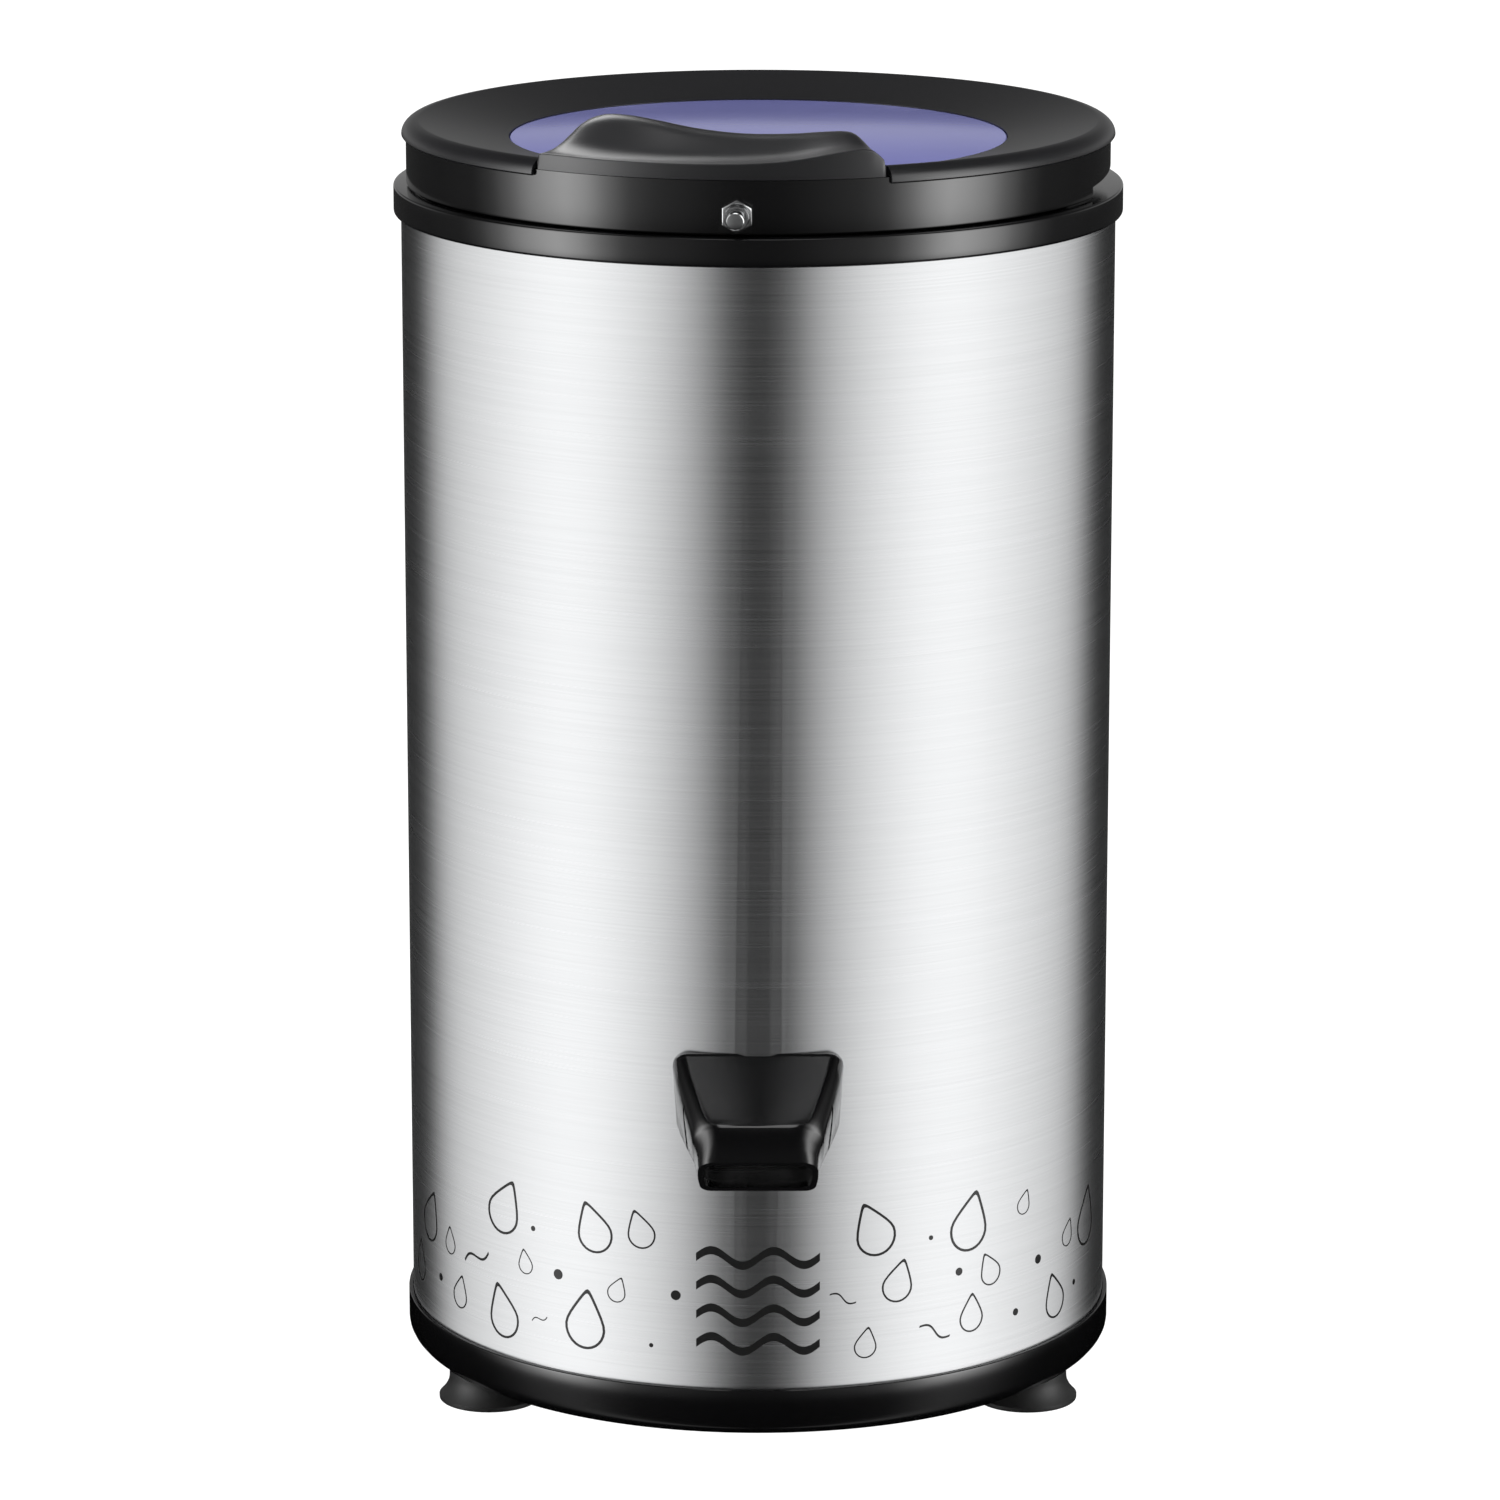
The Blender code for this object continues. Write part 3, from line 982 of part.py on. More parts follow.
def make_drum(spin_axis):
    """The perforated spinning drum with its pressed rim, hub, nut, shaft, rotor and brake drum."""
    inner = DRUM_RADIUS - DRUM_WALL
    shaft_bore = SHAFT_RADIUS + SEAT_GAP
    floor_top = DRUM_BOTTOM + DRUM_WALL
    shoulder = DRUM_TOP - DRUM_CORNER
    profile = [
        (shaft_bore, DRUM_BOTTOM),
        (DRUM_RADIUS - DRUM_CORNER, DRUM_BOTTOM),
        (DRUM_RADIUS, DRUM_BOTTOM + DRUM_CORNER),
        (DRUM_RADIUS, shoulder),
        (inner, shoulder),
        (inner, floor_top + DRUM_CORNER),
        (inner - DRUM_CORNER, floor_top),
        (shaft_bore, floor_top),
    ]
    drum = place(turned(profile, TUB_STEPS), "drum", spin_axis)
    paint(drum, "bright_steel")
    rim_profile = [
        (inner, shoulder + SEAT_GAP),
        (DRUM_RADIUS, shoulder + SEAT_GAP),
        (DRUM_RADIUS - DRUM_CORNER, DRUM_TOP),
        (DRUM_MOUTH, DRUM_TOP),
        (DRUM_MOUTH, DRUM_TOP - DRUM_WALL),
        (inner - DRUM_CORNER, DRUM_TOP - DRUM_WALL),
    ]
    paint(place(turned(rim_profile, TUB_STEPS), "drum_rim", spin_axis), "bright_steel")
    holes = bmesh.new()
    height = DRUM_TOP - DRUM_BOTTOM
    span_share = DRUM_HOLE_LAST_SHARE - DRUM_HOLE_FIRST_SHARE
    facet = 2 * HALF_TURN / TUB_STEPS
    for row in range(DRUM_ROWS):
        level = DRUM_BOTTOM + height * (DRUM_HOLE_FIRST_SHARE + span_share * row / (DRUM_ROWS - 1))
        for angle in around(DRUM_COLUMNS, facet / 2 + facet * (row % 2)):
            direction = spot(1, angle)
            matrix = Matrix.Translation(direction * DRUM_RADIUS + Vector((0, 0, level)))
            matrix @= direction.to_track_quat("Z", "Y").to_matrix().to_4x4()
            bmesh.ops.create_cone(holes, cap_ends=True, segments=DRUM_HOLE_SIDES, radius1=DRUM_HOLE_RADIUS,
                                  radius2=DRUM_HOLE_RADIUS, depth=OVERRUN * 2, matrix=matrix)
    cut(drum, holes, "drum_holes", spin_axis)

    hub_top = DRUM_BOTTOM - SEAT_GAP
    hub_profile = [
        (shaft_bore, HUB_BOTTOM),
        (HUB_BOSS_RADIUS, HUB_BOTTOM),
        (HUB_BOSS_RADIUS, hub_top - HUB_FLANGE - HUB_CONE),
        (HUB_FLANGE_RADIUS, hub_top - HUB_FLANGE),
        (HUB_FLANGE_RADIUS, hub_top),
        (shaft_bore, hub_top),
    ]
    paint(place(turned(hub_profile, MOTOR_STEPS), "drum_hub", spin_axis), "cast_aluminium")
    nut_bottom = floor_top + SEAT_GAP
    nut = hex_nut(shaft_bore, HUB_NUT_RADIUS, nut_bottom, nut_bottom + HUB_NUT_HEIGHT)
    paint(place(nut, "hub_nut", spin_axis), "zinc_steel")
    paint(place(rod(SHAFT_RADIUS, SHAFT_BOTTOM, SHAFT_TOP), "drum_shaft", spin_axis), "bright_steel")
    rotor = tube(shaft_bore, CORE_BORE - ROTOR_GAP, CORE_BOTTOM, CORE_BOTTOM + CORE_HEIGHT, MOTOR_STEPS)
    paint(place(rotor, "rotor", spin_axis), "lamination")
    brake_top = BRAKE_DRUM_BOTTOM + BRAKE_DRUM_HEIGHT
    brake_roof = brake_top - BRAKE_DRUM_WALL
    brake_profile = [
        (shaft_bore, BRAKE_DRUM_BOTTOM),
        (shaft_bore + BRAKE_DRUM_WALL, BRAKE_DRUM_BOTTOM),
        (shaft_bore + BRAKE_DRUM_WALL, brake_roof),
        (BRAKE_DRUM_RADIUS - BRAKE_DRUM_WALL, brake_roof),
        (BRAKE_DRUM_RADIUS - BRAKE_DRUM_WALL, BRAKE_DRUM_BOTTOM),
        (BRAKE_DRUM_RADIUS, BRAKE_DRUM_BOTTOM),
        (BRAKE_DRUM_RADIUS, brake_top),
        (shaft_bore, brake_top),
    ]
    paint(place(turned(brake_profile, MOTOR_STEPS), "brake_drum", spin_axis), "zinc_steel")


def make_brake(spin_axis):
    """The brake lever on its post, whose shoe closes on the brake drum when the lid is opened."""
    frame = pivot("brake_frame", spin_axis, (0, 0, 0), radians(BRAKE_ANGLE))
    post_place = (0, -BRAKE_POST_REACH, BRAKE_LEVER_BOTTOM)
    brake_pivot = pivot("brake_pivot", frame, post_place)
    post_bottom = MOTOR_TOP + SEAT_GAP
    shoulder = BRAKE_LEVER_BOTTOM - SEAT_GAP
    lever_top = BRAKE_LEVER_BOTTOM + BRAKE_LEVER_HEIGHT
    post_profile = [
        (0, post_bottom),
        (BRAKE_SHOULDER_RADIUS, post_bottom),
        (BRAKE_SHOULDER_RADIUS, shoulder),
        (BRAKE_POST_RADIUS, shoulder),
        (BRAKE_POST_RADIUS, lever_top + OVERRUN),
        (0, lever_top + OVERRUN),
    ]
    post = moved(turned(post_profile, SCREW_STEPS, reaches_axis=True), y=-BRAKE_POST_REACH)
    paint(place(post, "brake_post", frame), "zinc_steel")
    bar = block((-BRAKE_LEVER_HEEL, -BRAKE_LEVER_BACK, BRAKE_LEVER_BOTTOM),
                (BRAKE_LEVER_LENGTH, -BRAKE_DRUM_RADIUS + BRAKE_LEVER_HEIGHT, lever_top))
    lever = place(bar, "brake_lever", frame, brake_pivot)
    paint(lever, "zinc_steel")
    low = BRAKE_LEVER_BOTTOM - OVERRUN
    high = lever_top + OVERRUN
    drum_space = rod(BRAKE_DRUM_RADIUS + BRAKE_RELEASE, low, high, MOTOR_STEPS)
    cut(lever, drum_space, "lever_drum_space", frame)
    pin_hole = moved(rod(BRAKE_POST_RADIUS + RUN_GAP, low, high, SCREW_STEPS), y=-BRAKE_POST_REACH)
    cut(lever, pin_hole, "lever_pin_hole", frame)


def lid_screw(radius, head_radius, head_height, tip, seat, lateral, height):
    """A radial screw at the back of the lid, from its tip to the outside of its head."""
    profile = [(0, tip), (radius, tip), (radius, seat), (head_radius, seat), (head_radius, seat + head_height),
               (0, seat + head_height)]
    screw = aimed(turned(profile, SCREW_STEPS, reaches_axis=True), (0, 1, 0))
    return moved(screw, x=lateral, z=height)


def across(shape):
    """Lays a bmesh drawn along +Z across the hinge's or the handle's axis."""
    return aimed(shape, (1, 0, 0))


def make_hinge(lid_frame, lid_hinge):
    """The bracket on the collar, the leaf on the lid, the pin through both and the screws."""
    knuckle_start = LEAF_HALF_WIDTH + KNUCKLE_GAP
    centre = (HINGE_REACH, HINGE_HEIGHT)
    bracket = place(block((-HINGE_HALF_WIDTH, BRACKET_ROOT, BRACKET_BOTTOM),
                          (HINGE_HALF_WIDTH, BRACKET_BACK, BRACKET_TOP)), "hinge_bracket", lid_frame)
    paint(bracket, "satin_black")
    arm_outline = [
        (COLLAR_RADIUS + ARM_INSET, BRACKET_TOP - OVERRUN),
        (BRACKET_BACK - SEAT_GAP, BRACKET_TOP - OVERRUN),
        *arc(centre, KNUCKLE_RADIUS, KNUCKLE_RADIUS, ARM_ARC_START, ARM_ARC_END, SCREW_STEPS),
    ]
    for side in (-1, 1):
        near, far = sorted((side * knuckle_start, side * (HINGE_HALF_WIDTH - KNUCKLE_GAP)))
        add(bracket, prism(arm_outline, near, far), f"bracket_arm_{side}", lid_frame)
    collar_space = rod(COLLAR_RADIUS + SEAT_GAP, BRACKET_BOTTOM - OVERRUN, BRACKET_TOP + OVERRUN,
                       WIDE_STEPS * 2)
    cut(bracket, collar_space, "bracket_collar_space", lid_frame)
    pin_reach = HINGE_HALF_WIDTH + HINGE_PIN_OVERHANG
    bore = rod(HINGE_PIN_RADIUS + RUN_GAP, -pin_reach - OVERRUN, pin_reach + OVERRUN)
    cut(bracket, moved(across(bore), y=HINGE_REACH, z=HINGE_HEIGHT), "bracket_bore", lid_frame)
    seat = BRACKET_BACK + SEAT_GAP
    for index, side in enumerate((-1, 1)):
        lateral = side * HINGE_SCREW_LATERAL
        hole = rod(HINGE_SCREW_RADIUS + SEAT_GAP, BRACKET_ROOT, BRACKET_BACK + OVERRUN, SCREW_STEPS)
        hole = moved(aimed(hole, (0, 1, 0)), x=lateral, z=HINGE_SCREW_HEIGHT)
        cut(bracket, hole, f"bracket_screw_hole_{index + 1}", lid_frame)
        screw = lid_screw(HINGE_SCREW_RADIUS, HINGE_SCREW_HEAD, HINGE_SCREW_HEAD_HEIGHT, HINGE_SCREW_TIP,
                          seat, lateral, HINGE_SCREW_HEIGHT)
        paint(place(screw, f"hinge_screw_{index + 1}", lid_frame), "zinc_steel")
    pin = moved(across(rod(HINGE_PIN_RADIUS, -pin_reach, pin_reach)), y=HINGE_REACH, z=HINGE_HEIGHT)
    paint(place(pin, "hinge_pin", lid_frame), "bright_steel")

    leaf_outline = [
        (BRACKET_ROOT, LEAF_BOTTOM),
        (LEAF_BACK, LEAF_BOTTOM),
        *arc(centre, KNUCKLE_RADIUS, KNUCKLE_RADIUS, LEAF_ARC_START, LEAF_ARC_END, SCREW_STEPS),
        (LEAF_BACK, LEAF_WEB_TOP),
        (LEAF_BACK, LEAF_TOP),
        (BRACKET_ROOT, LEAF_TOP),
    ]
    leaf_shape = prism(leaf_outline, -LEAF_HALF_WIDTH, LEAF_HALF_WIDTH)
    leaf = place(leaf_shape, "hinge_leaf", lid_frame, lid_hinge)
    paint(leaf, "satin_black")
    skirt_space = rod(SKIRT_RADIUS + SEAT_GAP, LEAF_BOTTOM - OVERRUN, LEAF_TOP + OVERRUN, WIDE_STEPS)
    cut(leaf, skirt_space, "leaf_skirt_space", lid_frame)
    leaf_bore = rod(HINGE_PIN_RADIUS + RUN_GAP, -LEAF_HALF_WIDTH - OVERRUN, LEAF_HALF_WIDTH + OVERRUN)
    cut(leaf, moved(across(leaf_bore), y=HINGE_REACH, z=HINGE_HEIGHT), "leaf_bore", lid_frame)
    for index, side in enumerate((-1, 1)):
        lateral = side * LEAF_SCREW_LATERAL
        cut(leaf, leaf_screw_hole(side), f"leaf_screw_hole_{index + 1}", lid_frame)
        screw = lid_screw(LEAF_SCREW_RADIUS, LEAF_SCREW_HEAD, LEAF_SCREW_HEAD_HEIGHT, LEAF_SCREW_TIP,
                          LEAF_BACK + SEAT_GAP, lateral, LEAF_SCREW_HEIGHT)
        paint(place(screw, f"leaf_screw_{index + 1}", lid_frame, lid_hinge), "zinc_steel")


def leaf_screw_hole(side):
    """A clearance hole for one leaf screw, through the leaf and the skirt."""
    hole = rod(LEAF_SCREW_RADIUS + SEAT_GAP, LEAF_SCREW_TIP - OVERRUN, LEAF_BACK + OVERRUN, SCREW_STEPS)
    return moved(aimed(hole, (0, 1, 0)), x=side * LEAF_SCREW_LATERAL, z=LEAF_SCREW_HEIGHT)


def make_skirt(lid_frame, lid_hinge):
    """The lid's deep outer wall, with its rear half cut back so that it clears the collar."""
    bottom = COLLAR_TOP + LID_GAP
    wall = tube(SKIRT_RADIUS - SKIRT_WALL, SKIRT_RADIUS, bottom, SKIRT_TOP, WIDE_STEPS)
    skirt = place(wall, "lid_skirt", lid_frame, lid_hinge)
    paint(skirt, "gloss_black")
    relief_outline = [
        (-RELIEF_START, bottom - OVERRUN),
        (SKIRT_RADIUS + OVERRUN, bottom - OVERRUN),
        (SKIRT_RADIUS + OVERRUN, bottom + RELIEF_END_STEP),
        (RELIEF_END, bottom + RELIEF_END_STEP),
        (-RELIEF_START, bottom + RELIEF_STEP),
    ]
    reach = SKIRT_RADIUS + OVERRUN
    cut(skirt, prism(relief_outline, -reach, reach), "skirt_relief", lid_frame)
    bush_hole = rod(LOCK_BUSH_RADIUS + SEAT_GAP, LOCK_BUSH_INNER, LOCK_BUSH_OUTER, SCREW_STEPS)
    bush_hole = moved(aimed(bush_hole, spot(1, LOCK_ANGLE)), z=LOCK_HEIGHT)
    cut(skirt, bush_hole, "skirt_bush_hole", lid_frame)
    for side in (-1, 1):
        cut(skirt, leaf_screw_hole(side), f"skirt_screw_hole_{side}", lid_frame)


def handle_sector(half_angle, inner, low, high):
    """The wedge-shaped space round the handle, from an inner radius out past the lid."""
    shape = bmesh.new()
    outer = COVER_RADIUS + OVERRUN
    angles = [half_angle * (2 * index / SMALL_STEPS - 1) for index in range(SMALL_STEPS + 1)]
    loops = []
    for level in (low, high):
        ring = [shape.verts.new(spot(inner, angle, level)) for angle in angles]
        ring += [shape.verts.new(spot(outer, angle, level)) for angle in reversed(angles)]
        loops.append(ring)
        shape.faces.new(ring)
    count = len(loops[0])
    for index in range(count):
        beside = (index + 1) % count
        shape.faces.new((loops[0][index], loops[0][beside], loops[1][beside], loops[1][index]))
    bmesh.ops.recalc_face_normals(shape, faces=shape.faces)
    return shape


def make_cover(lid_frame, lid_hinge):
    """The dished cover ring with its lip, the window in its ledge, the gasket and the handle's pin."""
    opening = WINDOW_RADIUS + SEAT_GAP
    ledge_top = WINDOW_TOP - WINDOW_THICKNESS - WINDOW_BEDDING
    lip_inner = SKIRT_RADIUS + SEAT_GAP
    under_lip = SKIRT_TOP + SEAT_GAP
    skirt_inner = SKIRT_RADIUS - SKIRT_WALL - SEAT_GAP
    profile = [
        (lip_inner, COVER_LIP_BOTTOM),
        (COVER_RADIUS - SEAT_GAP * 2, COVER_LIP_BOTTOM),
        *arc((COVER_CREST_RADIUS, COVER_LIP_BOTTOM + COVER_LIP_EDGE), COVER_LIP_ROUND,
             COVER_TOP - COVER_LIP_BOTTOM - COVER_LIP_EDGE, 0, HALF_TURN / 2, COVER_LIP_STEPS),
        (opening, COVER_DISH_TOP),
        (opening, ledge_top),
        (opening - LEDGE_WIDTH, ledge_top),
        (opening - LEDGE_WIDTH, ledge_top - LEDGE_WALL),
        (opening + LEDGE_WIDTH, ledge_top - LEDGE_WALL),
        (skirt_inner - COVER_WALL, under_lip - SEAT_GAP),
        (skirt_inner, under_lip),
        (lip_inner, under_lip),
    ]
    cover = place(turned(profile, WIDE_STEPS), "lid_cover", lid_frame, lid_hinge)
    paint(cover, "satin_black")
    gap = handle_sector(HANDLE_GAP_ANGLE, HANDLE_BRIDGE, ledge_top - OVERRUN * 2, COVER_TOP + OVERRUN)
    cut(cover, gap, "cover_handle_gap", lid_frame)
    for side in (-1, 1):
        near, far = sorted((side * HANDLE_BOSS_START, side * HANDLE_BOSS_END))
        boss = block(
            (near, -HANDLE_PIN_REACH - HANDLE_BOSS_HALF_WIDTH, HANDLE_PIN_HEIGHT - HANDLE_BOSS_DROP),
            (far, -HANDLE_PIN_REACH + HANDLE_BOSS_HALF_WIDTH, HANDLE_PIN_HEIGHT + HANDLE_BOSS_RISE))
        add(cover, boss, f"cover_boss_{side}", lid_frame)
    half_length = HANDLE_PIN_HALF_LENGTH
    bore = rod(HANDLE_PIN_RADIUS + RUN_GAP, -half_length - SEAT_GAP, half_length + SEAT_GAP, SCREW_STEPS)
    cut(cover, moved(across(bore), y=-HANDLE_PIN_REACH, z=HANDLE_PIN_HEIGHT), "cover_pin_bore", lid_frame)
    pin = rod(HANDLE_PIN_RADIUS, -half_length, half_length, SCREW_STEPS)
    pin = moved(across(pin), y=-HANDLE_PIN_REACH, z=HANDLE_PIN_HEIGHT)
    paint(place(pin, "handle_pin", lid_frame, lid_hinge), "bright_steel")

    window_bottom = WINDOW_TOP - WINDOW_THICKNESS
    window_profile = [
        (0, window_bottom),
        (WINDOW_RADIUS, window_bottom),
        (WINDOW_RADIUS, WINDOW_TOP - WINDOW_BEVEL),
        (WINDOW_RADIUS - WINDOW_BEVEL, WINDOW_TOP),
        (0, WINDOW_TOP),
    ]
    window = turned(window_profile, WIDE_STEPS, reaches_axis=True)
    paint(place(window, "lid_window", lid_frame, lid_hinge), "violet_glass")
    gasket = tube(WINDOW_RADIUS - WINDOW_GASKET_WIDTH, WINDOW_RADIUS, ledge_top + SEAT_GAP,
                  window_bottom - SEAT_GAP, WIDE_STEPS)
    paint(place(gasket, "window_gasket", lid_frame, lid_hinge), "black_rubber")


def blended(table, share):
    """Reads a table of (share along the handle, share of a height) pairs, joined by straight lines."""
    for (low, low_value), (high, high_value) in zip(table, table[1:]):
        if share <= high:
            return low_value + (high_value - low_value) * (share - low) / (high - low)
    return table[-1][1]


def make_handle(lid_frame, handle_hinge):
    """The sculpted lever: a tall thumb lobe on the viewer's left that sweeps down to a long low grip."""
    shape = bmesh.new()
    sections = []
    step_reach = SKIRT_RADIUS - SKIRT_WALL - HANDLE_STEP_GAP
    step_height = SKIRT_TOP + SEAT_GAP
    for share, crest_share in CREST_SHARES:
        angle = HANDLE_HALF_ANGLE * share
        crest = HANDLE_END_HEIGHT + (HANDLE_CREST - HANDLE_END_HEIGHT) * crest_share
        ridge_share = blended(RIDGE_SHARES, share)
        ridge = HANDLE_RIDGE_LOW + (HANDLE_RIDGE_HIGH - HANDLE_RIDGE_LOW) * ridge_share
        ridge = min(ridge, crest)
        rise = crest - ridge
        lean = HANDLE_FRONT - HANDLE_CREST_REACH
        back = HANDLE_CREST_REACH - HANDLE_INNER
        outline = [
            (HANDLE_INNER, HANDLE_SEAT),
            (step_reach, HANDLE_SEAT),
            (step_reach, step_height),
            (HANDLE_FRONT, step_height),
            (HANDLE_FRONT, ridge - HANDLE_EDGE),
            (HANDLE_FRONT - HANDLE_EDGE, ridge),
            *[(HANDLE_FRONT - lean * run, ridge + rise * up) for run, up in FRONT_SHARES],
            (HANDLE_CREST_REACH, crest),
            *[(HANDLE_CREST_REACH - back * run, crest - rise * down) for run, down in BACK_SHARES],
        ]
        sections.append([shape.verts.new(spot(reach, angle, height)) for reach, height in outline])
    count = len(sections[0])
    for section, following in zip(sections, sections[1:]):
        for index in range(count):
            beside = (index + 1) % count
            shape.faces.new((section[index], section[beside], following[beside], following[index]))
    shape.faces.new(sections[0])
    shape.faces.new(sections[-1])
    bmesh.ops.remove_doubles(shape, verts=shape.verts, dist=WELD)
    bmesh.ops.recalc_face_normals(shape, faces=shape.faces)
    handle = place(shape, "lid_handle", lid_frame, handle_hinge)
    paint(handle, "satin_black")
    reach = HANDLE_PIN_HALF_LENGTH + OVERRUN
    bore = rod(HANDLE_PIN_RADIUS + RUN_GAP, -reach, reach, SCREW_STEPS)
    cut(handle, moved(across(bore), y=-HANDLE_PIN_REACH, z=HANDLE_PIN_HEIGHT), "handle_bore", lid_frame)


def make_lock(lid_frame, lid_hinge):
    """The lock pin in its threaded bush, with a hexagon nut outside the skirt."""
    direction = spot(1, LOCK_ANGLE)
    bore = LOCK_PIN_RADIUS + RUN_GAP
    bush_profile = [
        (bore, LOCK_BUSH_INNER),
        (LOCK_BUSH_FLANGE_RADIUS, LOCK_BUSH_INNER),
        (LOCK_BUSH_FLANGE_RADIUS, LOCK_BUSH_INNER + LOCK_BUSH_FLANGE),
        (LOCK_BUSH_RADIUS, LOCK_BUSH_INNER + LOCK_BUSH_FLANGE),
        (LOCK_BUSH_RADIUS, LOCK_BUSH_OUTER),
        (bore, LOCK_BUSH_OUTER),
    ]
    bush = moved(aimed(turned(bush_profile, SMALL_STEPS), direction), z=LOCK_HEIGHT)
    paint(place(bush, "lock_bush", lid_frame, lid_hinge), "bright_steel")
    nut_start = SKIRT_RADIUS + SEAT_GAP
    nut = hex_nut(LOCK_BUSH_RADIUS + SEAT_GAP, LOCK_NUT_RADIUS, nut_start, nut_start + LOCK_NUT_HEIGHT)
    nut = moved(aimed(nut, direction), z=LOCK_HEIGHT)
    paint(place(nut, "lock_nut", lid_frame, lid_hinge), "bright_steel")
    lock_axis = pivot("lock_axis", lid_hinge, (0, -HINGE_REACH, LOCK_HEIGHT - HINGE_HEIGHT), LOCK_ANGLE)
    pin = moved(aimed(rod(LOCK_PIN_RADIUS, LOCK_PIN_INNER, LOCK_PIN_OUTER), direction), z=LOCK_HEIGHT)
    paint(place(pin, "lock_pin", lid_frame, lock_axis), "bright_steel")


def main():
    spin_axis = pivot("spin_axis", None, (0, AXIS_Y, 0))
    lid_frame = pivot("lid_frame", spin_axis, (0, 0, 0), LID_YAW)
    lid_hinge = pivot("lid_hinge_axis", lid_frame, (0, HINGE_REACH, HINGE_HEIGHT))
    handle_place = (0, -HANDLE_PIN_REACH - HINGE_REACH, HANDLE_PIN_HEIGHT - HINGE_HEIGHT)
    handle_hinge = pivot("handle_axis", lid_hinge, handle_place)
    make_shell(spin_axis)
    make_tray(spin_axis)
    make_feet(spin_axis)
    make_collar(spin_axis, lid_frame)
    make_tub(spin_axis)
    make_spout(spin_axis)
    make_gland(spin_axis)
    make_motor_mounts(spin_axis)
    make_motor(spin_axis)
    make_drum(spin_axis)
    make_brake(spin_axis)
    make_hinge(lid_frame, lid_hinge)
    make_skirt(lid_frame, lid_hinge)
    make_cover(lid_frame, lid_hinge)
    make_handle(lid_frame, handle_hinge)
    make_lock(lid_frame, lid_hinge)


main()
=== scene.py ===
"""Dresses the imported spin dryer: finer pieces over its plain solids, a finish on every node, and the studio.

All lengths are metres in the frame of the CAD model. The floor is z = 0, the front is -Y, and the drum
spins about an upright axis a little behind the origin. Angles round that axis grow from the front
towards the viewer's right.
"""

import json
from math import atan2, cos, hypot, pi, radians, sin, tan

import bmesh
import bpy
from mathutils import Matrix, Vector

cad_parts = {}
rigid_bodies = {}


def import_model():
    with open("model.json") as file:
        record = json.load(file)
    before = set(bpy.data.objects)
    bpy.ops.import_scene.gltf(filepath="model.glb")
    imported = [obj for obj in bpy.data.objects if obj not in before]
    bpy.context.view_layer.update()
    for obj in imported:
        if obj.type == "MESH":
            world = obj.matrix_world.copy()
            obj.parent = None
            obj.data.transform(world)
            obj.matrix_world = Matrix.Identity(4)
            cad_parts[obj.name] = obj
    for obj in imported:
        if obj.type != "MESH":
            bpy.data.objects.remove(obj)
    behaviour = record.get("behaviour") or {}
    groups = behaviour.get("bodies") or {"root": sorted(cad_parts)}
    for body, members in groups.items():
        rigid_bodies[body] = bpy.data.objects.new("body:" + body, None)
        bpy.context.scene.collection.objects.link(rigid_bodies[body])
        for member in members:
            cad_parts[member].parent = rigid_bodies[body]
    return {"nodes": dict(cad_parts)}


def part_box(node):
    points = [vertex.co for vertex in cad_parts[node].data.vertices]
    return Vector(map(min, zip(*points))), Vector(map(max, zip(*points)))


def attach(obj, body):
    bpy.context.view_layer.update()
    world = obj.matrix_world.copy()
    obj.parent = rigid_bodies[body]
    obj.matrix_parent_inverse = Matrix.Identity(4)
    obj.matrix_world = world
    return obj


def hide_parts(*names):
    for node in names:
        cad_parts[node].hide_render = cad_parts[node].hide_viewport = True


bl_info = {
    "name": "Spin dryer",
    "version": (1, 0, 0),
    "blender": (4, 5, 0),
    "location": "3D View > Sidebar > Spin dryer",
    "description": "Dresses the packed spin dryer and sets up its studio",
    "category": "Object",
}

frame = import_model()


def size(default, description):
    """A length that the user may change, in metres."""
    return bpy.props.FloatProperty(
        name=description, description=description, default=default, min=0.0, precision=5,
        subtype="DISTANCE", unit="LENGTH",
    )


def turn(default, description):
    """An angle that the user may change, given in degrees."""
    return bpy.props.FloatProperty(
        name=description, description=description, default=radians(default), subtype="ANGLE", unit="ROTATION",
    )


def colour(default, description):
    """A colour that the user may change, given as an sRGB hex value."""
    return bpy.props.FloatVectorProperty(
        name=description, description=description, default=linear(default), size=3, subtype="COLOR",
        min=0.0, max=1.0,
    )


def linear(hex_value):
    """Turns an sRGB hex value such as 8A8C90 into linear red, green and blue."""
    channels = [int(hex_value[place:place + 2], 16) / 255 for place in (0, 2, 4)]
    return tuple(c / 12.92 if c <= 0.04045 else ((c + 0.055) / 1.055) ** 2.4 for c in channels)


# Places that the frame gives
SHELL_LOW, SHELL_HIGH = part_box("outer_shell")
TRAY_LOW, TRAY_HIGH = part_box("base_tray")
COLLAR_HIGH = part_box("collar")[1]
WINDOW_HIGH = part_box("lid_window")[1]
AXIS_Y = (SHELL_LOW.y + SHELL_HIGH.y) / 2

# Angles, gaps, steps and sizes that stay fixed
LID_TURN = -radians(8.35)
LOCK_TURN = LID_TURN + radians(5.15)
WELD = 0.000002
SEED_SIZE = WELD * 10
SEAT = 0.0003
QUARTER_TURN = radians(90)
FULL_TURN = radians(360)
FINE_STEPS = 192
TENT_STEPS = 96
ROUND_STEPS = 48
CORNER_STEPS = 8
RING_STEPS = 6
FILLET_STEPS = 4
EDGE_STEPS = 3
EDGE_SEGMENTS = 2
EDGE_ANGLE = radians(35)
SMOOTH_ANGLE = radians(30)
SPOUT_SMOOTH_ANGLE = radians(28)
HANDLE_SMOOTH_ANGLE = radians(40)
DRAIN_HOLE = 0.0123
DRAIN_HEIGHT = 0.1830
CORD_HOLE = 0.0083
CORD_HEIGHT = 0.0700
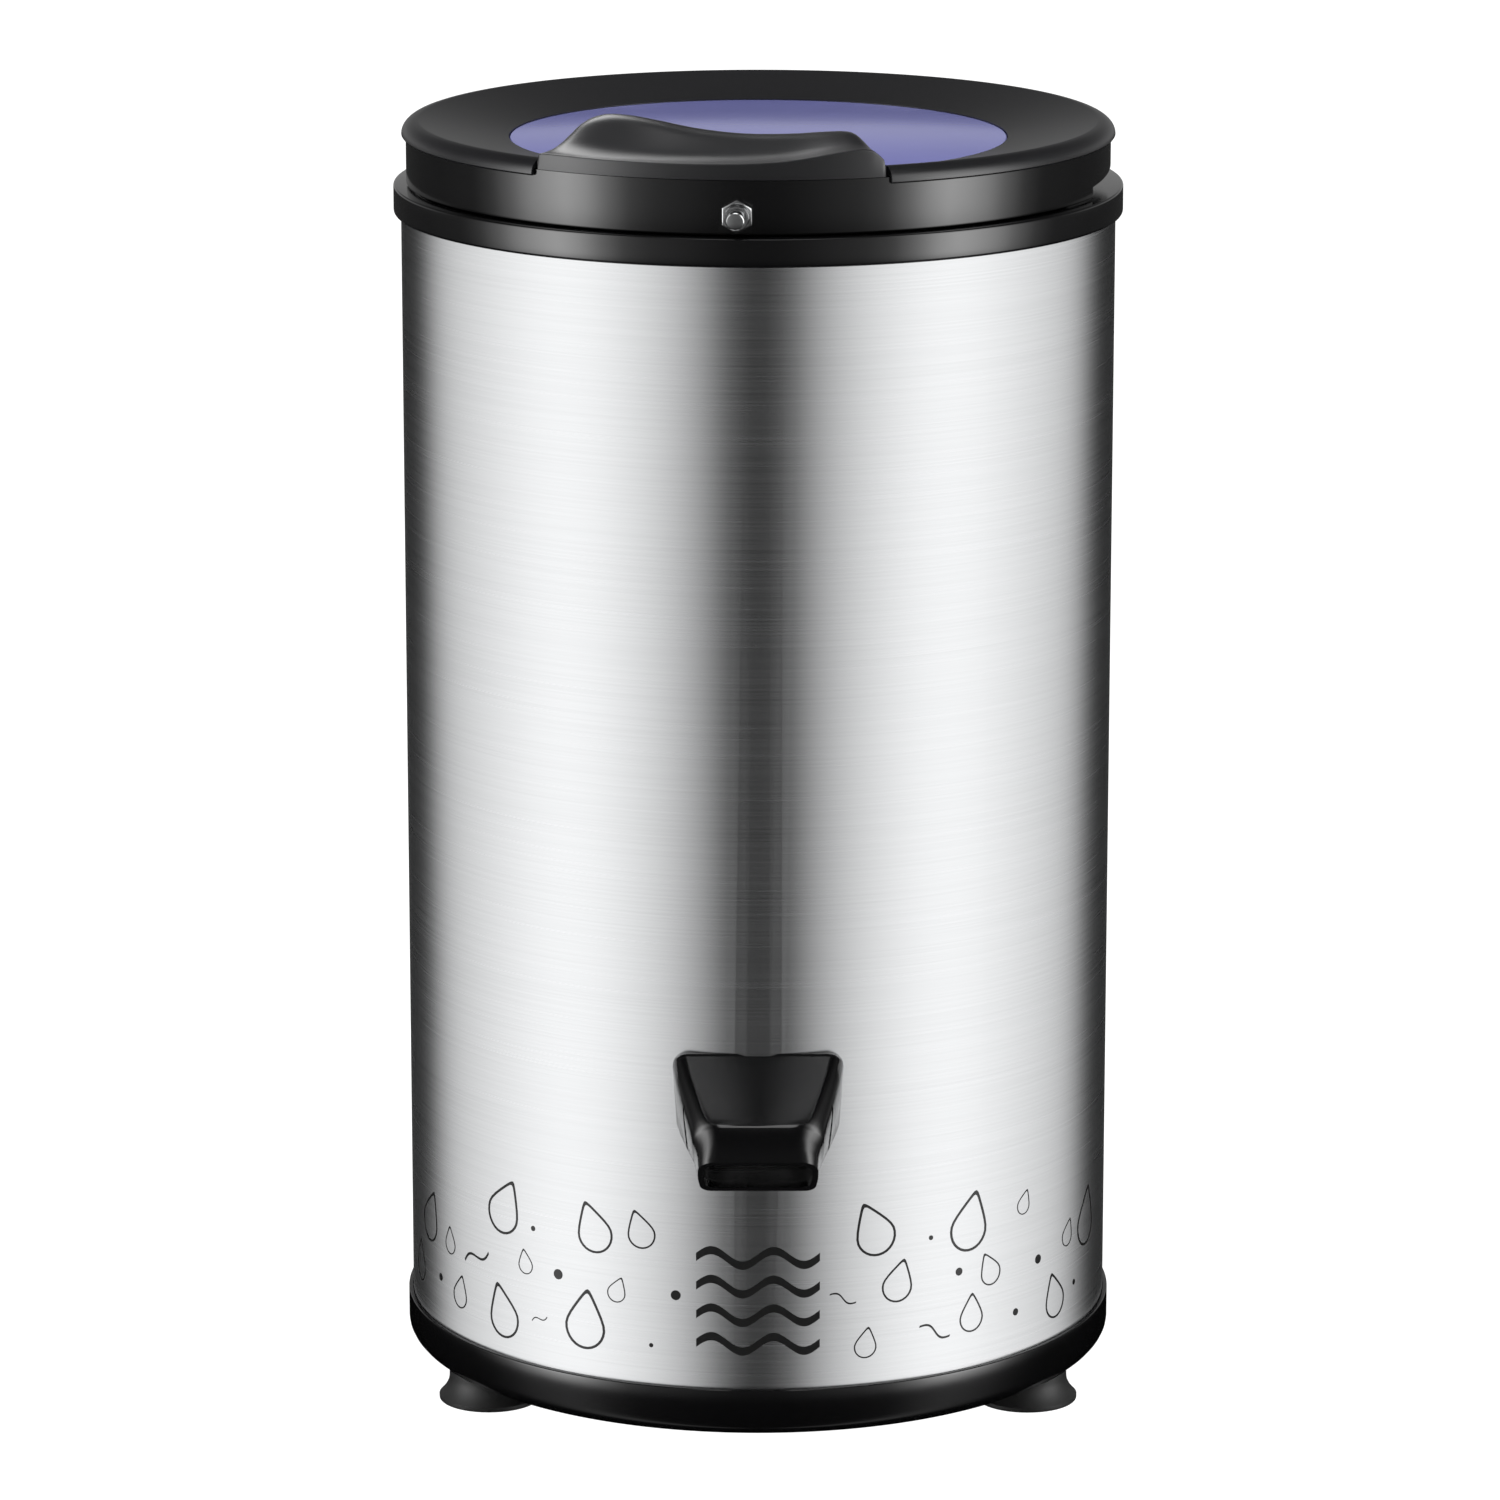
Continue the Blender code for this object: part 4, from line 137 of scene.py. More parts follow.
HOLE_DEPTH = 0.0300
TRAY_FLOOR = 0.0035
TRAY_LEDGE = 0.0060
FOOT_COUNT = 3
FOOT_EDGE = 0.0012
FOOT_FLARE = 0.0024
FOOT_NECK = 0.0120
FOOT_TOP = 0.0170
FOOT_HOLE = 0.0065
FOOT_BORE = 0.0028
FOOT_RECESS = 0.0035
NECK_WALL = 0.0025
NECK_EDGE = 0.0006
FUNNEL_HEAD = 0.0040
FUNNEL_DEPTH = 0.0200
FUNNEL_WALL = 0.0023
COLLAR_FLANGE = 0.0028
FUNNEL_EDGE = 0.0003
COLLAR_EDGE = 0.0013
COLLAR_TOP_EDGE = 0.00104
LOCK_HOLE = 0.0050
SPOUT_WALL = 0.0024
SPOUT_MARGIN = 0.0100
NOZZLE_BULGE = 0.0008
CHIN_SETBACK = 0.0130
CHIN_RISE = 0.0020
WAIST_SHARE = 0.58
WAIST_DRAW_SHARE = 0.15
LOW_CORNER_SHARE = 0.7
PANEL_MARGIN = 0.0003
PANEL_RIM = 0.0008
PANEL_DEPTH = 0.0009
PANEL_RISE_SHARE = 0.6
PANEL_SIDE_SHARE = 0.2
SLOT_LENGTH = 0.0240
SLOT_WIDTH = 0.0032
SLOT_X = 0.0345
SLOT_REACH = 0.1900
SLOT_HEIGHT = 0.1685
SKIRT_EDGE = 0.0008
RELIEF_START = -0.0360
RELIEF_END = 0.0640
RELIEF_STEP = 0.0052
RELIEF_END_STEP = 0.0112
CUT_MARGIN = 0.0050
BUSH_RADIUS = 0.0056
BUSH_INNER = 0.1609
BUSH_OUTER = 0.1760
BUSH_FLANGE_RADIUS = 0.0080
BUSH_FLANGE = 0.0019
THREAD_PITCH = 0.0010
THREAD_DEPTH = 0.0003
NUT_RADIUS = 0.0078
NUT_HEIGHT = 0.0050
NUT_SIDES = 6
NUT_EDGE = 0.0005
PIN_RADIUS = 0.0041
PIN_INNER = 0.1588
PIN_EDGE = 0.0009
PIN_GAP = 0.0002
SCREW_HOLE = 0.0016
LIP_EDGE = 0.0008
LIP_INSET = 0.0006
LIP_ROUND = 0.0080
LIP_STEPS = 10
CREST_BLEND = 0.0060
CREST_STEPS = 6
COVER_WALL = 0.0050
LEDGE_WIDTH = 0.0043
LEDGE_WALL = 0.0022
WINDOW_BEDDING = 0.0014
WINDOW_EDGE = 0.0012
BRIDGE_REACH = 0.1283
BOSS_START = 0.0775
BOSS_END = 0.0820
BOSS_REACH = 0.1370
BOSS_HALF_WIDTH = 0.0030
BOSS_LOW = 0.6007
BOSS_HIGH = 0.6063
HINGE_BORE = 0.0022
HINGE_BORE_END = 0.0015
HANDLE_PIN_HEIGHT = 0.6043
HANDLE_STEPS = 72
FRONT_STEPS = 18
BACK_STEPS = 12
HANDLE_STEP_GAP = 0.0018
HANDLE_END_HEIGHT = 0.6105
HANDLE_CREST_REACH = 0.1420
RIDGE_LOW = 0.6128
RIDGE_RISE = 0.0057
HANDLE_EDGE = 0.0009
BAND_LOW = 0.0450
BAND_HIGH = 0.1180
BAND_HALF_LENGTH = 0.2200
BAND_ROWS = 3
BAND_COLUMNS = 16
BAND_CLEAR = 0.0360
BAND_DRIFT = 0.16
BAND_DRIFT_PACE = 2.4
BAND_LIFT = 0.0030
BAND_LIFT_PACE = 1.7
BAND_GROWTH = 0.42
BAND_GROWTH_PACE = 2.9
BAND_TILT = 0.4
BAND_TILT_PACE = 1.3
BAND_ORDER = ["drop", "dot", "drop", "drop", "wave", "drop", "dot"]
DROP_RADIUS = 0.0078
DROP_STEPS = 28
DROP_PINCH = 0.55
DROP_STRETCH = 0.75
DOT_RADIUS = 0.0018
DOT_STEPS = 14
WAVE_LENGTH = 0.0150
WAVE_RISE = 0.0016
WAVE_STEPS = 24
SWELL_COUNT = 4
SWELL_CRESTS = 2
SWELL_LENGTH = 0.0580
SWELL_RISE = 0.0036
SWELL_LINE = 0.0040
SWELL_SPACING = 0.0140
SWELL_LOW = 0.0560
INK_DEPTH = 0.00006
INK_GAP = -0.00002

# The studio
FLOOR_RADIUS = 9.0
FLOOR_GLOW = 1.28
FLOOR_GLOW_SHARE = 0.85
TENT_RADIUS = 6.0
TENT_SPACING = 0.97
TENT_MIDDLE = 0.30
TENT_GAIN = 1.77
# Light levels of the tents: degrees from the camera's side round to the back, or degrees up from the level
STEEL_TENT = [
    (0, 0.0), (7, 0.0), (11, 0.06), (15, 0.23), (21, 0.41), (31, 0.62), (42, 0.78), (53, 0.91), (65, 0.95),
    (77, 0.89), (91, 0.76), (107, 0.62), (114, 0.55), (120, 0.45), (125, 0.32), (130, 0.16), (135, 0.04),
    (140, 0.0), (180, 0.01),
]
PLASTIC_TENT = [
    ([(0, 0.10), (8, 0.12), (15, 0.2), (23, 0.33), (33, 0.5), (42, 1.0), (50, 3.0), (57, 6.0), (64, 7.5),
      (72, 5.8), (79, 4.0), (86, 1.8), (95, 0.5), (104, 0.15), (125, 0.07), (140, 0.05), (180, 0.03)],
     [(-90, 0.06), (-17, 0.06), (-11, 1.0), (6, 1.0), (40, 0.6), (56, 0.0), (90, 0.0)]),
    ([(0, 0.0), (105, 0.0), (125, 1.0), (180, 1.0)],
     [(-90, 0.0), (-3, 0.0), (2, 0.40), (10, 0.40), (20, 0.08), (35, 0.02), (90, 0.02)]),
    ([(0, 1.0), (45, 1.0), (75, 0.15), (120, 0.0), (180, 0.0)],
     [(-90, 0.0), (66, 0.0), (70, 3.0), (80, 3.0), (84, 0.0), (90, 0.0)]),
]
# Lamps: name, place, width, watts, and the pieces that a lamp is kept to, which also mirror it
LAMPS = [
    ("overhead_lamp", (0, AXIS_Y, 3.0), 2.0, 42.0, []),
    ("left_lamp", (-2.6, -1.2, 1.6), 1.2, 12.0, []),
    ("right_lamp", (2.6, -1.2, 1.6), 1.2, 12.0, []),
    ("handle_lamp", (-1.1, 2.1, 2.75), 1.6, 45.0, ["lid_lever"]),
    ("lock_lamp", (0.9, -2.6, 1.1), 0.7, 6.0, ["lock_plunger", "threaded_bush", "lock_hexagon_nut"]),
]
LAMP_AIM = 0.30
AMBIENT = 0.55
CAMERA_REACH = 3.2440
CAMERA_HEIGHT = 1.0840
CAMERA_PITCH = radians(13.54)
CAMERA_YAW = 0.00121
CAMERA_RANGE = 60.0
SENSOR_MM = 36.0
LENS_MM = 166.0


class SPIN_PG_body_sizes(bpy.types.PropertyGroup):
    """Sizes of the casing, the base and the collar."""

    shell_radius: size(0.1690, "Radius of the steel casing")
    shell_wall: size(0.0008, "Thickness of the steel sheet")
    shell_bottom: size(SHELL_LOW.z, "Height of the casing's lower edge")
    shell_top: size(SHELL_HIGH.z, "Height of the casing's upper edge")
    tray_radius: size(0.1712, "Radius of the base tray")
    tray_rim: size(TRAY_HIGH.z, "Height of the tray's rim")
    tray_underside: size(TRAY_LOW.z, "Height of the tray's underside")
    tray_corner_run: size(0.0160, "Width of the tray's rounded corner")
    tray_corner_rise: size(0.0100, "Height of the tray's rounded corner")
    tray_lip: size(0.0009, "Rounding of the tray's rim")
    vent_radius: size(0.0450, "Radius of the cooling opening in the base")
    foot_reach: size(0.1490, "Distance of a foot from the spin axis")
    foot_radius: size(0.0245, "Radius of a foot's pad")
    foot_waist: size(0.0195, "Radius of a foot's neck")
    collar_radius: size(0.1725, "Radius of the collar")
    collar_top: size(0.5800, "Height of the collar's shoulder")
    collar_drop: size(0.0132, "Depth of the collar over the casing")
    neck_radius: size(0.1583, "Radius of the collar's neck")
    neck_top: size(COLLAR_HIGH.z, "Height of the collar's neck")
    funnel_radius: size(0.1325, "Radius of the funnel's mouth")
    print_line: size(0.00090, "Width of the printed lines")


class SPIN_PG_lid_sizes(bpy.types.PropertyGroup):
    """Sizes of the lid, its window, handle and lock."""

    skirt_radius: size(0.1664, "Radius of the lid's skirt")
    skirt_wall: size(0.0030, "Thickness of the skirt")
    skirt_bottom: size(0.5808, "Height of the skirt's lower edge")
    skirt_top: size(0.6055, "Height of the skirt's upper edge")
    cover_radius: size(0.1685, "Radius of the cover's lip")
    cover_lip_bottom: size(0.6028, "Height of the lip's lower edge")
    cover_top: size(0.6102, "Height of the lip's crest")
    dish_height: size(0.6018, "Height of the cover round the window")
    window_radius: size(0.1175, "Radius of the window")
    window_top: size(WINDOW_HIGH.z, "Height of the window's face")
    window_thickness: size(0.0030, "Thickness of the window")
    handle_crest: size(0.6300, "Height of the handle's thumb lobe")
    handle_front: size(0.1667, "Distance of the handle's front from the spin axis")
    handle_inner: size(0.1310, "Distance of the handle's back from the spin axis")
    handle_seat: size(0.6005, "Height of the handle's underside")
    handle_half_angle: turn(28.5, "Half of the angle that the handle covers")
    gap_half_angle: turn(29.35, "Half of the angle of the gap in the cover")
    lock_height: size(0.5900, "Height of the lock pin")
    lock_reach: size(0.1860, "Distance of the lock pin's tip from the spin axis")


class SPIN_PG_spout_sizes(bpy.types.PropertyGroup):
    """Sizes of the drain spout."""

    top: size(0.1990, "Height of the spout's upper edge")
    root_half_width: size(0.0395, "Half width where the spout meets the casing")
    crease_reach: size(0.2070, "Distance of the crease from the spin axis")
    crease_height: size(0.1755, "Height of the crease")
    mouth_reach: size(0.2170, "Distance of the mouth's upper edge from the spin axis")
    mouth_height: size(0.1612, "Height of the mouth's upper edge")
    chin_reach: size(0.2050, "Distance of the mouth's lower edge from the spin axis")
    chin_height: size(0.1440, "Height of the mouth's lower edge")
    root_bottom: size(0.1410, "Height of the spout's lower end at the casing")


class SPIN_PG_colours(bpy.types.PropertyGroup):
    """Colours of the finishes."""

    steel: colour("C6C7C8", "Brushed stainless steel")
    gloss_black: colour("0B0B0C", "Glossy black plastic")
    satin_black: colour("1A1A1C", "Satin black plastic")
    rubber: colour("141414", "Black rubber")
    window: colour("7A7CBA", "Tinted window")
    bright_metal: colour("C9CACB", "Bright turned steel")
    zinc: colour("9EA2A6", "Zinc plated steel")
    cast_metal: colour("A9ABAC", "Cast aluminium")
    copper: colour("B5683A", "Enamelled copper wire")
    iron: colour("6A6B6D", "Stacked iron sheets")
    grey_plastic: colour("A4A7AA", "Grey polypropylene")
    ink: colour("121212", "Printed ink")
    floor: colour("F4F4F4", "Studio floor")


# Helpers for modelling

def deselect():
    """Leaves nothing selected and no object in edit mode."""
    if bpy.context.object and bpy.context.object.mode != "OBJECT":
        bpy.ops.object.mode_set(mode="OBJECT")
    bpy.ops.object.select_all(action="DESELECT")
    bpy.context.tool_settings.mesh_select_mode = (True, False, False)


def select_only(piece):
    """Makes one object the selected and active one."""
    deselect()
    piece.select_set(True)
    bpy.context.view_layer.objects.active = piece


def edit(piece, kind="VERT"):
    """Opens a piece in edit mode with nothing selected."""
    select_only(piece)
    bpy.ops.object.mode_set(mode="EDIT")
    bpy.ops.mesh.select_mode(type=kind)
    bpy.ops.mesh.select_all(action="DESELECT")


def pick(piece, kind, wanted):
    """Selects the vertices, edges or faces that a test wants, on a piece in edit mode."""
    mesh = bmesh.from_edit_mesh(piece.data)
    for part in getattr(mesh, kind):
        part.select_set(bool(wanted(part)))
    mesh.select_flush_mode()
    bmesh.update_edit_mesh(piece.data)


def everything():
    """Selects the whole mesh in edit mode."""
    bpy.ops.mesh.select_all(action="SELECT")


def weld():
    """Merges the vertices that lie on each other, and leaves the whole mesh selected."""
    everything()
    bpy.ops.mesh.remove_doubles(threshold=WELD)
    everything()


def closed_up(piece):
    """Turns the faces outwards and leaves edit mode."""
    everything()
    bpy.ops.mesh.normals_make_consistent(inside=False)
    bpy.ops.object.mode_set(mode="OBJECT")
    return piece


def settled(piece, smooth=SMOOTH_ANGLE):
    """Moves the place into the mesh, welds it and shades it smooth up to an angle."""
    select_only(piece)
    bpy.ops.object.transform_apply(location=True, rotation=True, scale=True)
    bpy.ops.object.mode_set(mode="EDIT")
    weld()
    closed_up(piece)
    bpy.ops.object.shade_smooth_by_angle(angle=smooth)
    deselect()
    return piece


def named(name):
    """Names the object that was just added, with its mesh, and opens it in edit mode with all selected."""
    piece = bpy.context.object
    piece.name = name
    piece.data.name = name
    bpy.ops.object.mode_set(mode="EDIT")
    everything()
    return piece


def seed(name):
    """A mesh object with a single vertex at the origin, which is then extruded by hand."""
    deselect()
    bpy.ops.mesh.primitive_plane_add(size=SEED_SIZE)
    piece = named(name)
    bpy.ops.mesh.merge(type="CENTER")
    return piece


def push(offset):
    """Extrudes what is selected and moves it."""
    bpy.ops.mesh.extrude_region_move(TRANSFORM_OT_translate={"value": offset})


def trace(points):
    """Moves a seed to the first point and extrudes it from point to point."""
    bpy.ops.transform.translate(value=points[0])
    for point, following in zip(points, points[1:]):
        push([b - a for a, b in zip(point, following)])


def turned(name, profile, steps, closed=True):
    """Draws a (radius, height) profile point by point and spins it about the spin axis."""
    piece = seed(name)
    corners = list(profile) + ([profile[0]] if closed else [])
    trace([(radius, 0, height) for radius, height in corners])
    weld()
    bpy.ops.mesh.spin(steps=steps, angle=FULL_TURN, center=(0, 0, 0), axis=(0, 0, 1))
    weld()
    closed_up(piece)
    piece.location = (0, AXIS_Y, 0)
    return piece


def carve(piece, guide, operation="DIFFERENCE"):
    """Cuts a closed guide out of a piece, or joins it, and deletes the guide."""
    select_only(piece)
    modifier = piece.modifiers.new("carve", "BOOLEAN")
    modifier.operation = operation
    modifier.solver = "EXACT"
    modifier.object = guide
    bpy.ops.object.modifier_apply(modifier=modifier.name)
    bpy.data.objects.remove(guide, do_unlink=True)


def soften(piece, width):
    """Bevels the piece's sharp edges and applies the bevel."""
    select_only(piece)
    modifier = piece.modifiers.new("soften", "BEVEL")
    modifier.width = width
    modifier.segments = EDGE_SEGMENTS
    modifier.limit_method = "ANGLE"
    modifier.angle_limit = EDGE_ANGLE
    modifier.harden_normals = False
    bpy.ops.object.modifier_apply(modifier=modifier.name)


def loft(name, rings):
    """Draws a filled ring and extrudes it from ring to ring, each vertex keeping its place."""
    deselect()
    bpy.ops.mesh.primitive_circle_add(vertices=len(rings[0]), radius=SEED_SIZE, fill_type="NOTHING")
    piece = named(name)
    mesh = bmesh.from_edit_mesh(piece.data)
    order = mesh.verts.layers.int.new("order")
    mesh.verts.ensure_lookup_table()
    for index, vertex in enumerate(mesh.verts):
        vertex[order] = index
        vertex.co = rings[0][index]
    bmesh.update_edit_mesh(piece.data)
    bpy.ops.mesh.edge_face_add()
    everything()
    for ring in rings[1:]:
        bpy.ops.mesh.extrude_region_move()
        mesh = bmesh.from_edit_mesh(piece.data)
        order = mesh.verts.layers.int["order"]
        for vertex in mesh.verts:
            if vertex.select:
                vertex.co = ring[vertex[order]]
        bmesh.update_edit_mesh(piece.data)
    return closed_up(piece)


def slab(name, outline, rise):
    """Draws a flat outline point by point, fills it and extrudes it along a vector."""
    piece = seed(name)
    trace([*outline, outline[0]])
    weld()
    bpy.ops.mesh.edge_face_add()
    push(rise)
    return closed_up(piece)


def in_lid(piece):
    """Turns a piece drawn about the origin with the lid, onto the spin axis."""
    piece.rotation_euler = (0, 0, LID_TURN)
    piece.location = (0, AXIS_Y, 0)
    return piece


def laid_out(piece, height):
    """Lays a piece that was turned about the spin axis along the lock, so that its heights become reaches."""
    piece.rotation_euler = (QUARTER_TURN, 0, LOCK_TURN)
    piece.location = (0, AXIS_Y, height)
    return piece


def rod(radius, length, turned_by, place):
    """A round guide for a hole."""
    deselect()
    bpy.ops.mesh.primitive_cylinder_add(
        vertices=ROUND_STEPS, radius=radius, depth=length, rotation=turned_by, location=place)
    return bpy.context.object


def radial_hole(radius, angle, place):
    """A guide that points away from the spin axis."""
    return rod(radius, HOLE_DEPTH, (QUARTER_TURN, 0, angle), place)


def cross_hole(radius, length, place):
    """A guide that lies across the lid, along the handle's pin."""
    return rod(radius, length, (0, QUARTER_TURN, LID_TURN), place)


def rounded(corner, before, after, radius, steps):
    """Points of a fillet that replaces a corner between its two neighbours, in (radius, height)."""
    near = Vector(before) - Vector(corner)
    far = Vector(after) - Vector(corner)
    reach = radius / tan(near.angle(far) / 2)
    reach = min(reach, near.length, far.length)
    begin = Vector(corner) + near.normalized() * reach
    end = Vector(corner) + far.normalized() * reach
    middle = Vector(corner)
    points = []
    for index in range(steps + 1):
        share = index / steps
        point = begin * (1 - share) ** 2 + middle * 2 * share * (1 - share) + end * share ** 2
        points.append((point.x, point.y))
    return points


def filleted(corners):
    """A closed profile from (radius, height, rounding) corners, each rounded where it says so."""
    points = []
    count = len(corners)
    for index, (x, z, radius) in enumerate(corners):
        before = corners[index - 1][:2]
        after = corners[(index + 1) % count][:2]
        points += rounded((x, z), before, after, radius, FILLET_STEPS) if radius > 0 else [(x, z)]
    return points


def eased(table, share):
    """Reads a table of (share, value) pairs with a smooth slope at and between its points."""
    for index, ((low, low_value), (high, high_value)) in enumerate(zip(table, table[1:])):
        if share <= high:
            before = table[max(index - 1, 0)]
            after = table[min(index + 2, len(table) - 1)]
            near_slope = (high_value - before[1]) / (high - before[0])
            far_slope = (after[1] - low_value) / (after[0] - low)
            span = high - low
            t = (share - low) / span
            return ((2 * t ** 3 - 3 * t ** 2 + 1) * low_value + (t ** 3 - 2 * t ** 2 + t) * span * near_slope
                    + (3 * t ** 2 - 2 * t ** 3) * high_value + (t ** 3 - t ** 2) * span * far_slope)
    return table[-1][1]


def eased_point(table, share):
    """The (run, rise) point at a share of the table's length, with both read smoothly."""
    place = share * (len(table) - 1)
    runs = [(index, run) for index, (run, up) in enumerate(table)]
    rises = [(index, up) for index, (run, up) in enumerate(table)]
    return eased(runs, place), eased(rises, place)


def spot(reach, angle, height):
    """A point at an angle from the front, measured round the spin axis."""
    return Vector((reach * sin(angle), AXIS_Y - reach * cos(angle), height))


def dressed(piece, finish, slot, body, *nodes):
    """Gives a finished piece its material, makes it ride and stand for its CAD nodes."""
    piece.data.materials.clear()
    piece.data.materials.append(finish)
    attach(piece, body)
    if nodes:
        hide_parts(*nodes)
    return piece


# Finishes

def add_node(tree, kind, settings=None, links=None):
    """Adds a node, sets its properties and sockets, and links its sockets from (node, output) pairs."""
    made = tree.nodes.new(kind)
    for name, value in (settings or {}).items():
        if isinstance(name, int) or name in made.inputs.keys():
            made.inputs[name].default_value = value
        else:
            setattr(made, name, value)
    for name, (source, output) in (links or {}).items():
        tree.links.new(source.outputs[output], made.inputs[name])
    return made


# Short name and material, its colour, roughness and share of metal, its grains per metre along X, Y and Z,
# and how much the grain varies its tone, its roughness and, in metres, its relief
FINISHES = [
    # Stainless steel sheet, brushed round the casing: fine level streaks about 200 mm long. The real lines
    # are about 0.1 mm apart, so they are drawn 0.8 mm apart to show.
    ("steel", "brushed_stainless_steel", "steel", 0.26, 1.0, (5, 5, 1250), 0.09, 0.04, 0.000006),
    # ABS moulded in a polished mould: deep black with sharp reflections and a faint waviness 8 mm across.
    ("gloss", "glossy_black_abs", "gloss_black", 0.14, 0.0, (120, 120, 120), 0.05, 0.02, 0.000004),
    # ABS moulded in a spark-eroded mould: a grain of about 0.5 mm that softens its reflections.
    ("satin", "satin_black_abs", "satin_black", 0.34, 0.0, (1800, 1800, 1800), 0.10, 0.04, 0.00001),
    # Nitrile rubber, moulded: dull, with a fine powdery grain of about 1 mm.
    ("rubber", "black_nitrile_rubber", "rubber", 0.55, 0.0, (900, 900, 900), 0.20, 0.06, 0.00002),
    # Polycarbonate sheet, tinted violet and moulded clear: a glossy face over a milky depth.
    ("window", "tinted_polycarbonate", "window", 0.16, 0.0, (14, 14, 14), 0.10, 0.02, 0.000002),
    # Carbon steel, turned on a lathe and polished: bright, with rings about 0.4 mm apart.
    ("bright", "turned_bright_steel", "bright_metal", 0.20, 1.0, (300, 300, 2500), 0.06, 0.05, 0.000008),
    # Steel with a zinc coat: dull grey with soft patches 4 mm across.
    ("zinc", "zinc_plated_steel", "zinc", 0.42, 1.0, (250, 250, 250), 0.14, 0.08, 0.000006),
    # Aluminium, cast in sand: pale grey with a rough skin of 1.5 mm grains.
    ("cast", "sand_cast_aluminium", "cast_metal", 0.50, 1.0, (650, 650, 650), 0.12, 0.08, 0.00006),
    # Copper wire, enamelled and wound: reddish turns 1 mm apart.
    ("copper", "enamelled_copper_winding", "copper", 0.32, 1.0, (120, 120, 1000), 0.35, 0.05, 0.0003),
    # Electrical steel sheets, stacked: grey layers, drawn 1 mm apart where the real ones are 0.5 mm.
    ("iron", "stacked_electrical_steel", "iron", 0.48, 1.0, (20, 20, 1000), 0.30, 0.06, 0.0001),
    # Polypropylene, moulded: pale grey, slightly waxy, with a grain of 0.7 mm.
    ("grey", "grey_polypropylene", "grey_plastic", 0.45, 0.0, (1400, 1400, 1400), 0.05, 0.04, 0.000012),
    # Screen-printing ink on the steel: flat black with a slight mottle of 2 mm.
    ("ink", "screen_print_ink", "ink", 0.40, 0.0, (500, 500, 500), 0.25, 0.08, 0.000004),
]
GRAIN_DETAIL = 3.0
GRAIN_ROUGHNESS = 0.6
WINDOW_SOCKETS = {"Transmission Weight": 0.10, "IOR": 1.58, "Specular IOR Level": 0.15}
finishes = {}


def make_finish(name, base, roughness, metallic, per_metre, tone, gloss, relief):
    """A material whose colour, roughness and relief vary with one noise, stretched by counts per metre."""
    material = bpy.data.materials.new(name)
    material.use_nodes = True
    tree = material.node_tree
    shader = tree.nodes["Principled BSDF"]
    shader.inputs["Base Color"].default_value = (*base, 1.0)
    shader.inputs["Roughness"].default_value = roughness
    shader.inputs["Metallic"].default_value = metallic
    place = add_node(tree, "ShaderNodeTexCoord")
    stretch = add_node(tree, "ShaderNodeMapping", {"Scale": per_metre}, {"Vector": (place, "Object")})
    grain = add_node(tree, "ShaderNodeTexNoise",
                     {"Scale": 1.0, "Detail": GRAIN_DETAIL, "Roughness": GRAIN_ROUGHNESS},
                     {"Vector": (stretch, "Vector")})
    dark = (*[channel * (1 - tone) for channel in base], 1.0)
    light = (*[min(1.0, channel * (1 + tone)) for channel in base], 1.0)
    mixed = add_node(tree, "ShaderNodeMix", {"data_type": "RGBA", 6: dark, 7: light}, {0: (grain, "Fac")})
    spread = add_node(tree, "ShaderNodeMapRange", {"To Min": roughness - gloss, "To Max": roughness + gloss},
                      {"Value": (grain, "Fac")})
    bump = add_node(tree, "ShaderNodeBump", {"Strength": 1.0, "Distance": relief}, {"Height": (grain, "Fac")})
    tree.links.new(mixed.outputs[2], shader.inputs["Base Color"])
    tree.links.new(spread.outputs["Result"], shader.inputs["Roughness"])
    tree.links.new(bump.outputs["Normal"], shader.inputs["Normal"])
    return material


# Pieces of the body

class SPIN_OT_casing(bpy.types.Operator):
    """Makes the brushed steel casing and bores it for the drain and the cord"""

    bl_idname = "spin.casing"
    bl_label = "Steel casing"

    def execute(self, context):
        sizes = context.scene.spin_body
        inner = sizes.shell_radius - sizes.shell_wall
        profile = [
            (inner, sizes.shell_bottom),
            (sizes.shell_radius, sizes.shell_bottom),
            (sizes.shell_radius, sizes.shell_top),
            (inner, sizes.shell_top),
        ]
        casing = turned("steel_casing", profile, FINE_STEPS)
        for hole_radius, height, side in ((DRAIN_HOLE, DRAIN_HEIGHT, -1), (CORD_HOLE, CORD_HEIGHT, 1)):
            carve(casing, radial_hole(hole_radius, 0, (0, AXIS_Y + side * sizes.shell_radius, height)))
        dressed(settled(casing), finishes["steel"], "shell_steel", "housing", "outer_shell")
        return {"FINISHED"}


def tray_corner(sizes, gap):
    """The tray's rounded lower corner, grown by a gap, from its underside out to its side."""
    middle = sizes.tray_radius - sizes.tray_corner_run
    height = sizes.tray_underside + sizes.tray_corner_rise
    angles = [QUARTER_TURN * step / CORNER_STEPS for step in range(CORNER_STEPS + 1)]
    return [(middle + (sizes.tray_corner_run + gap) * sin(angle),
             height - (sizes.tray_corner_rise + gap) * cos(angle)) for angle in angles]


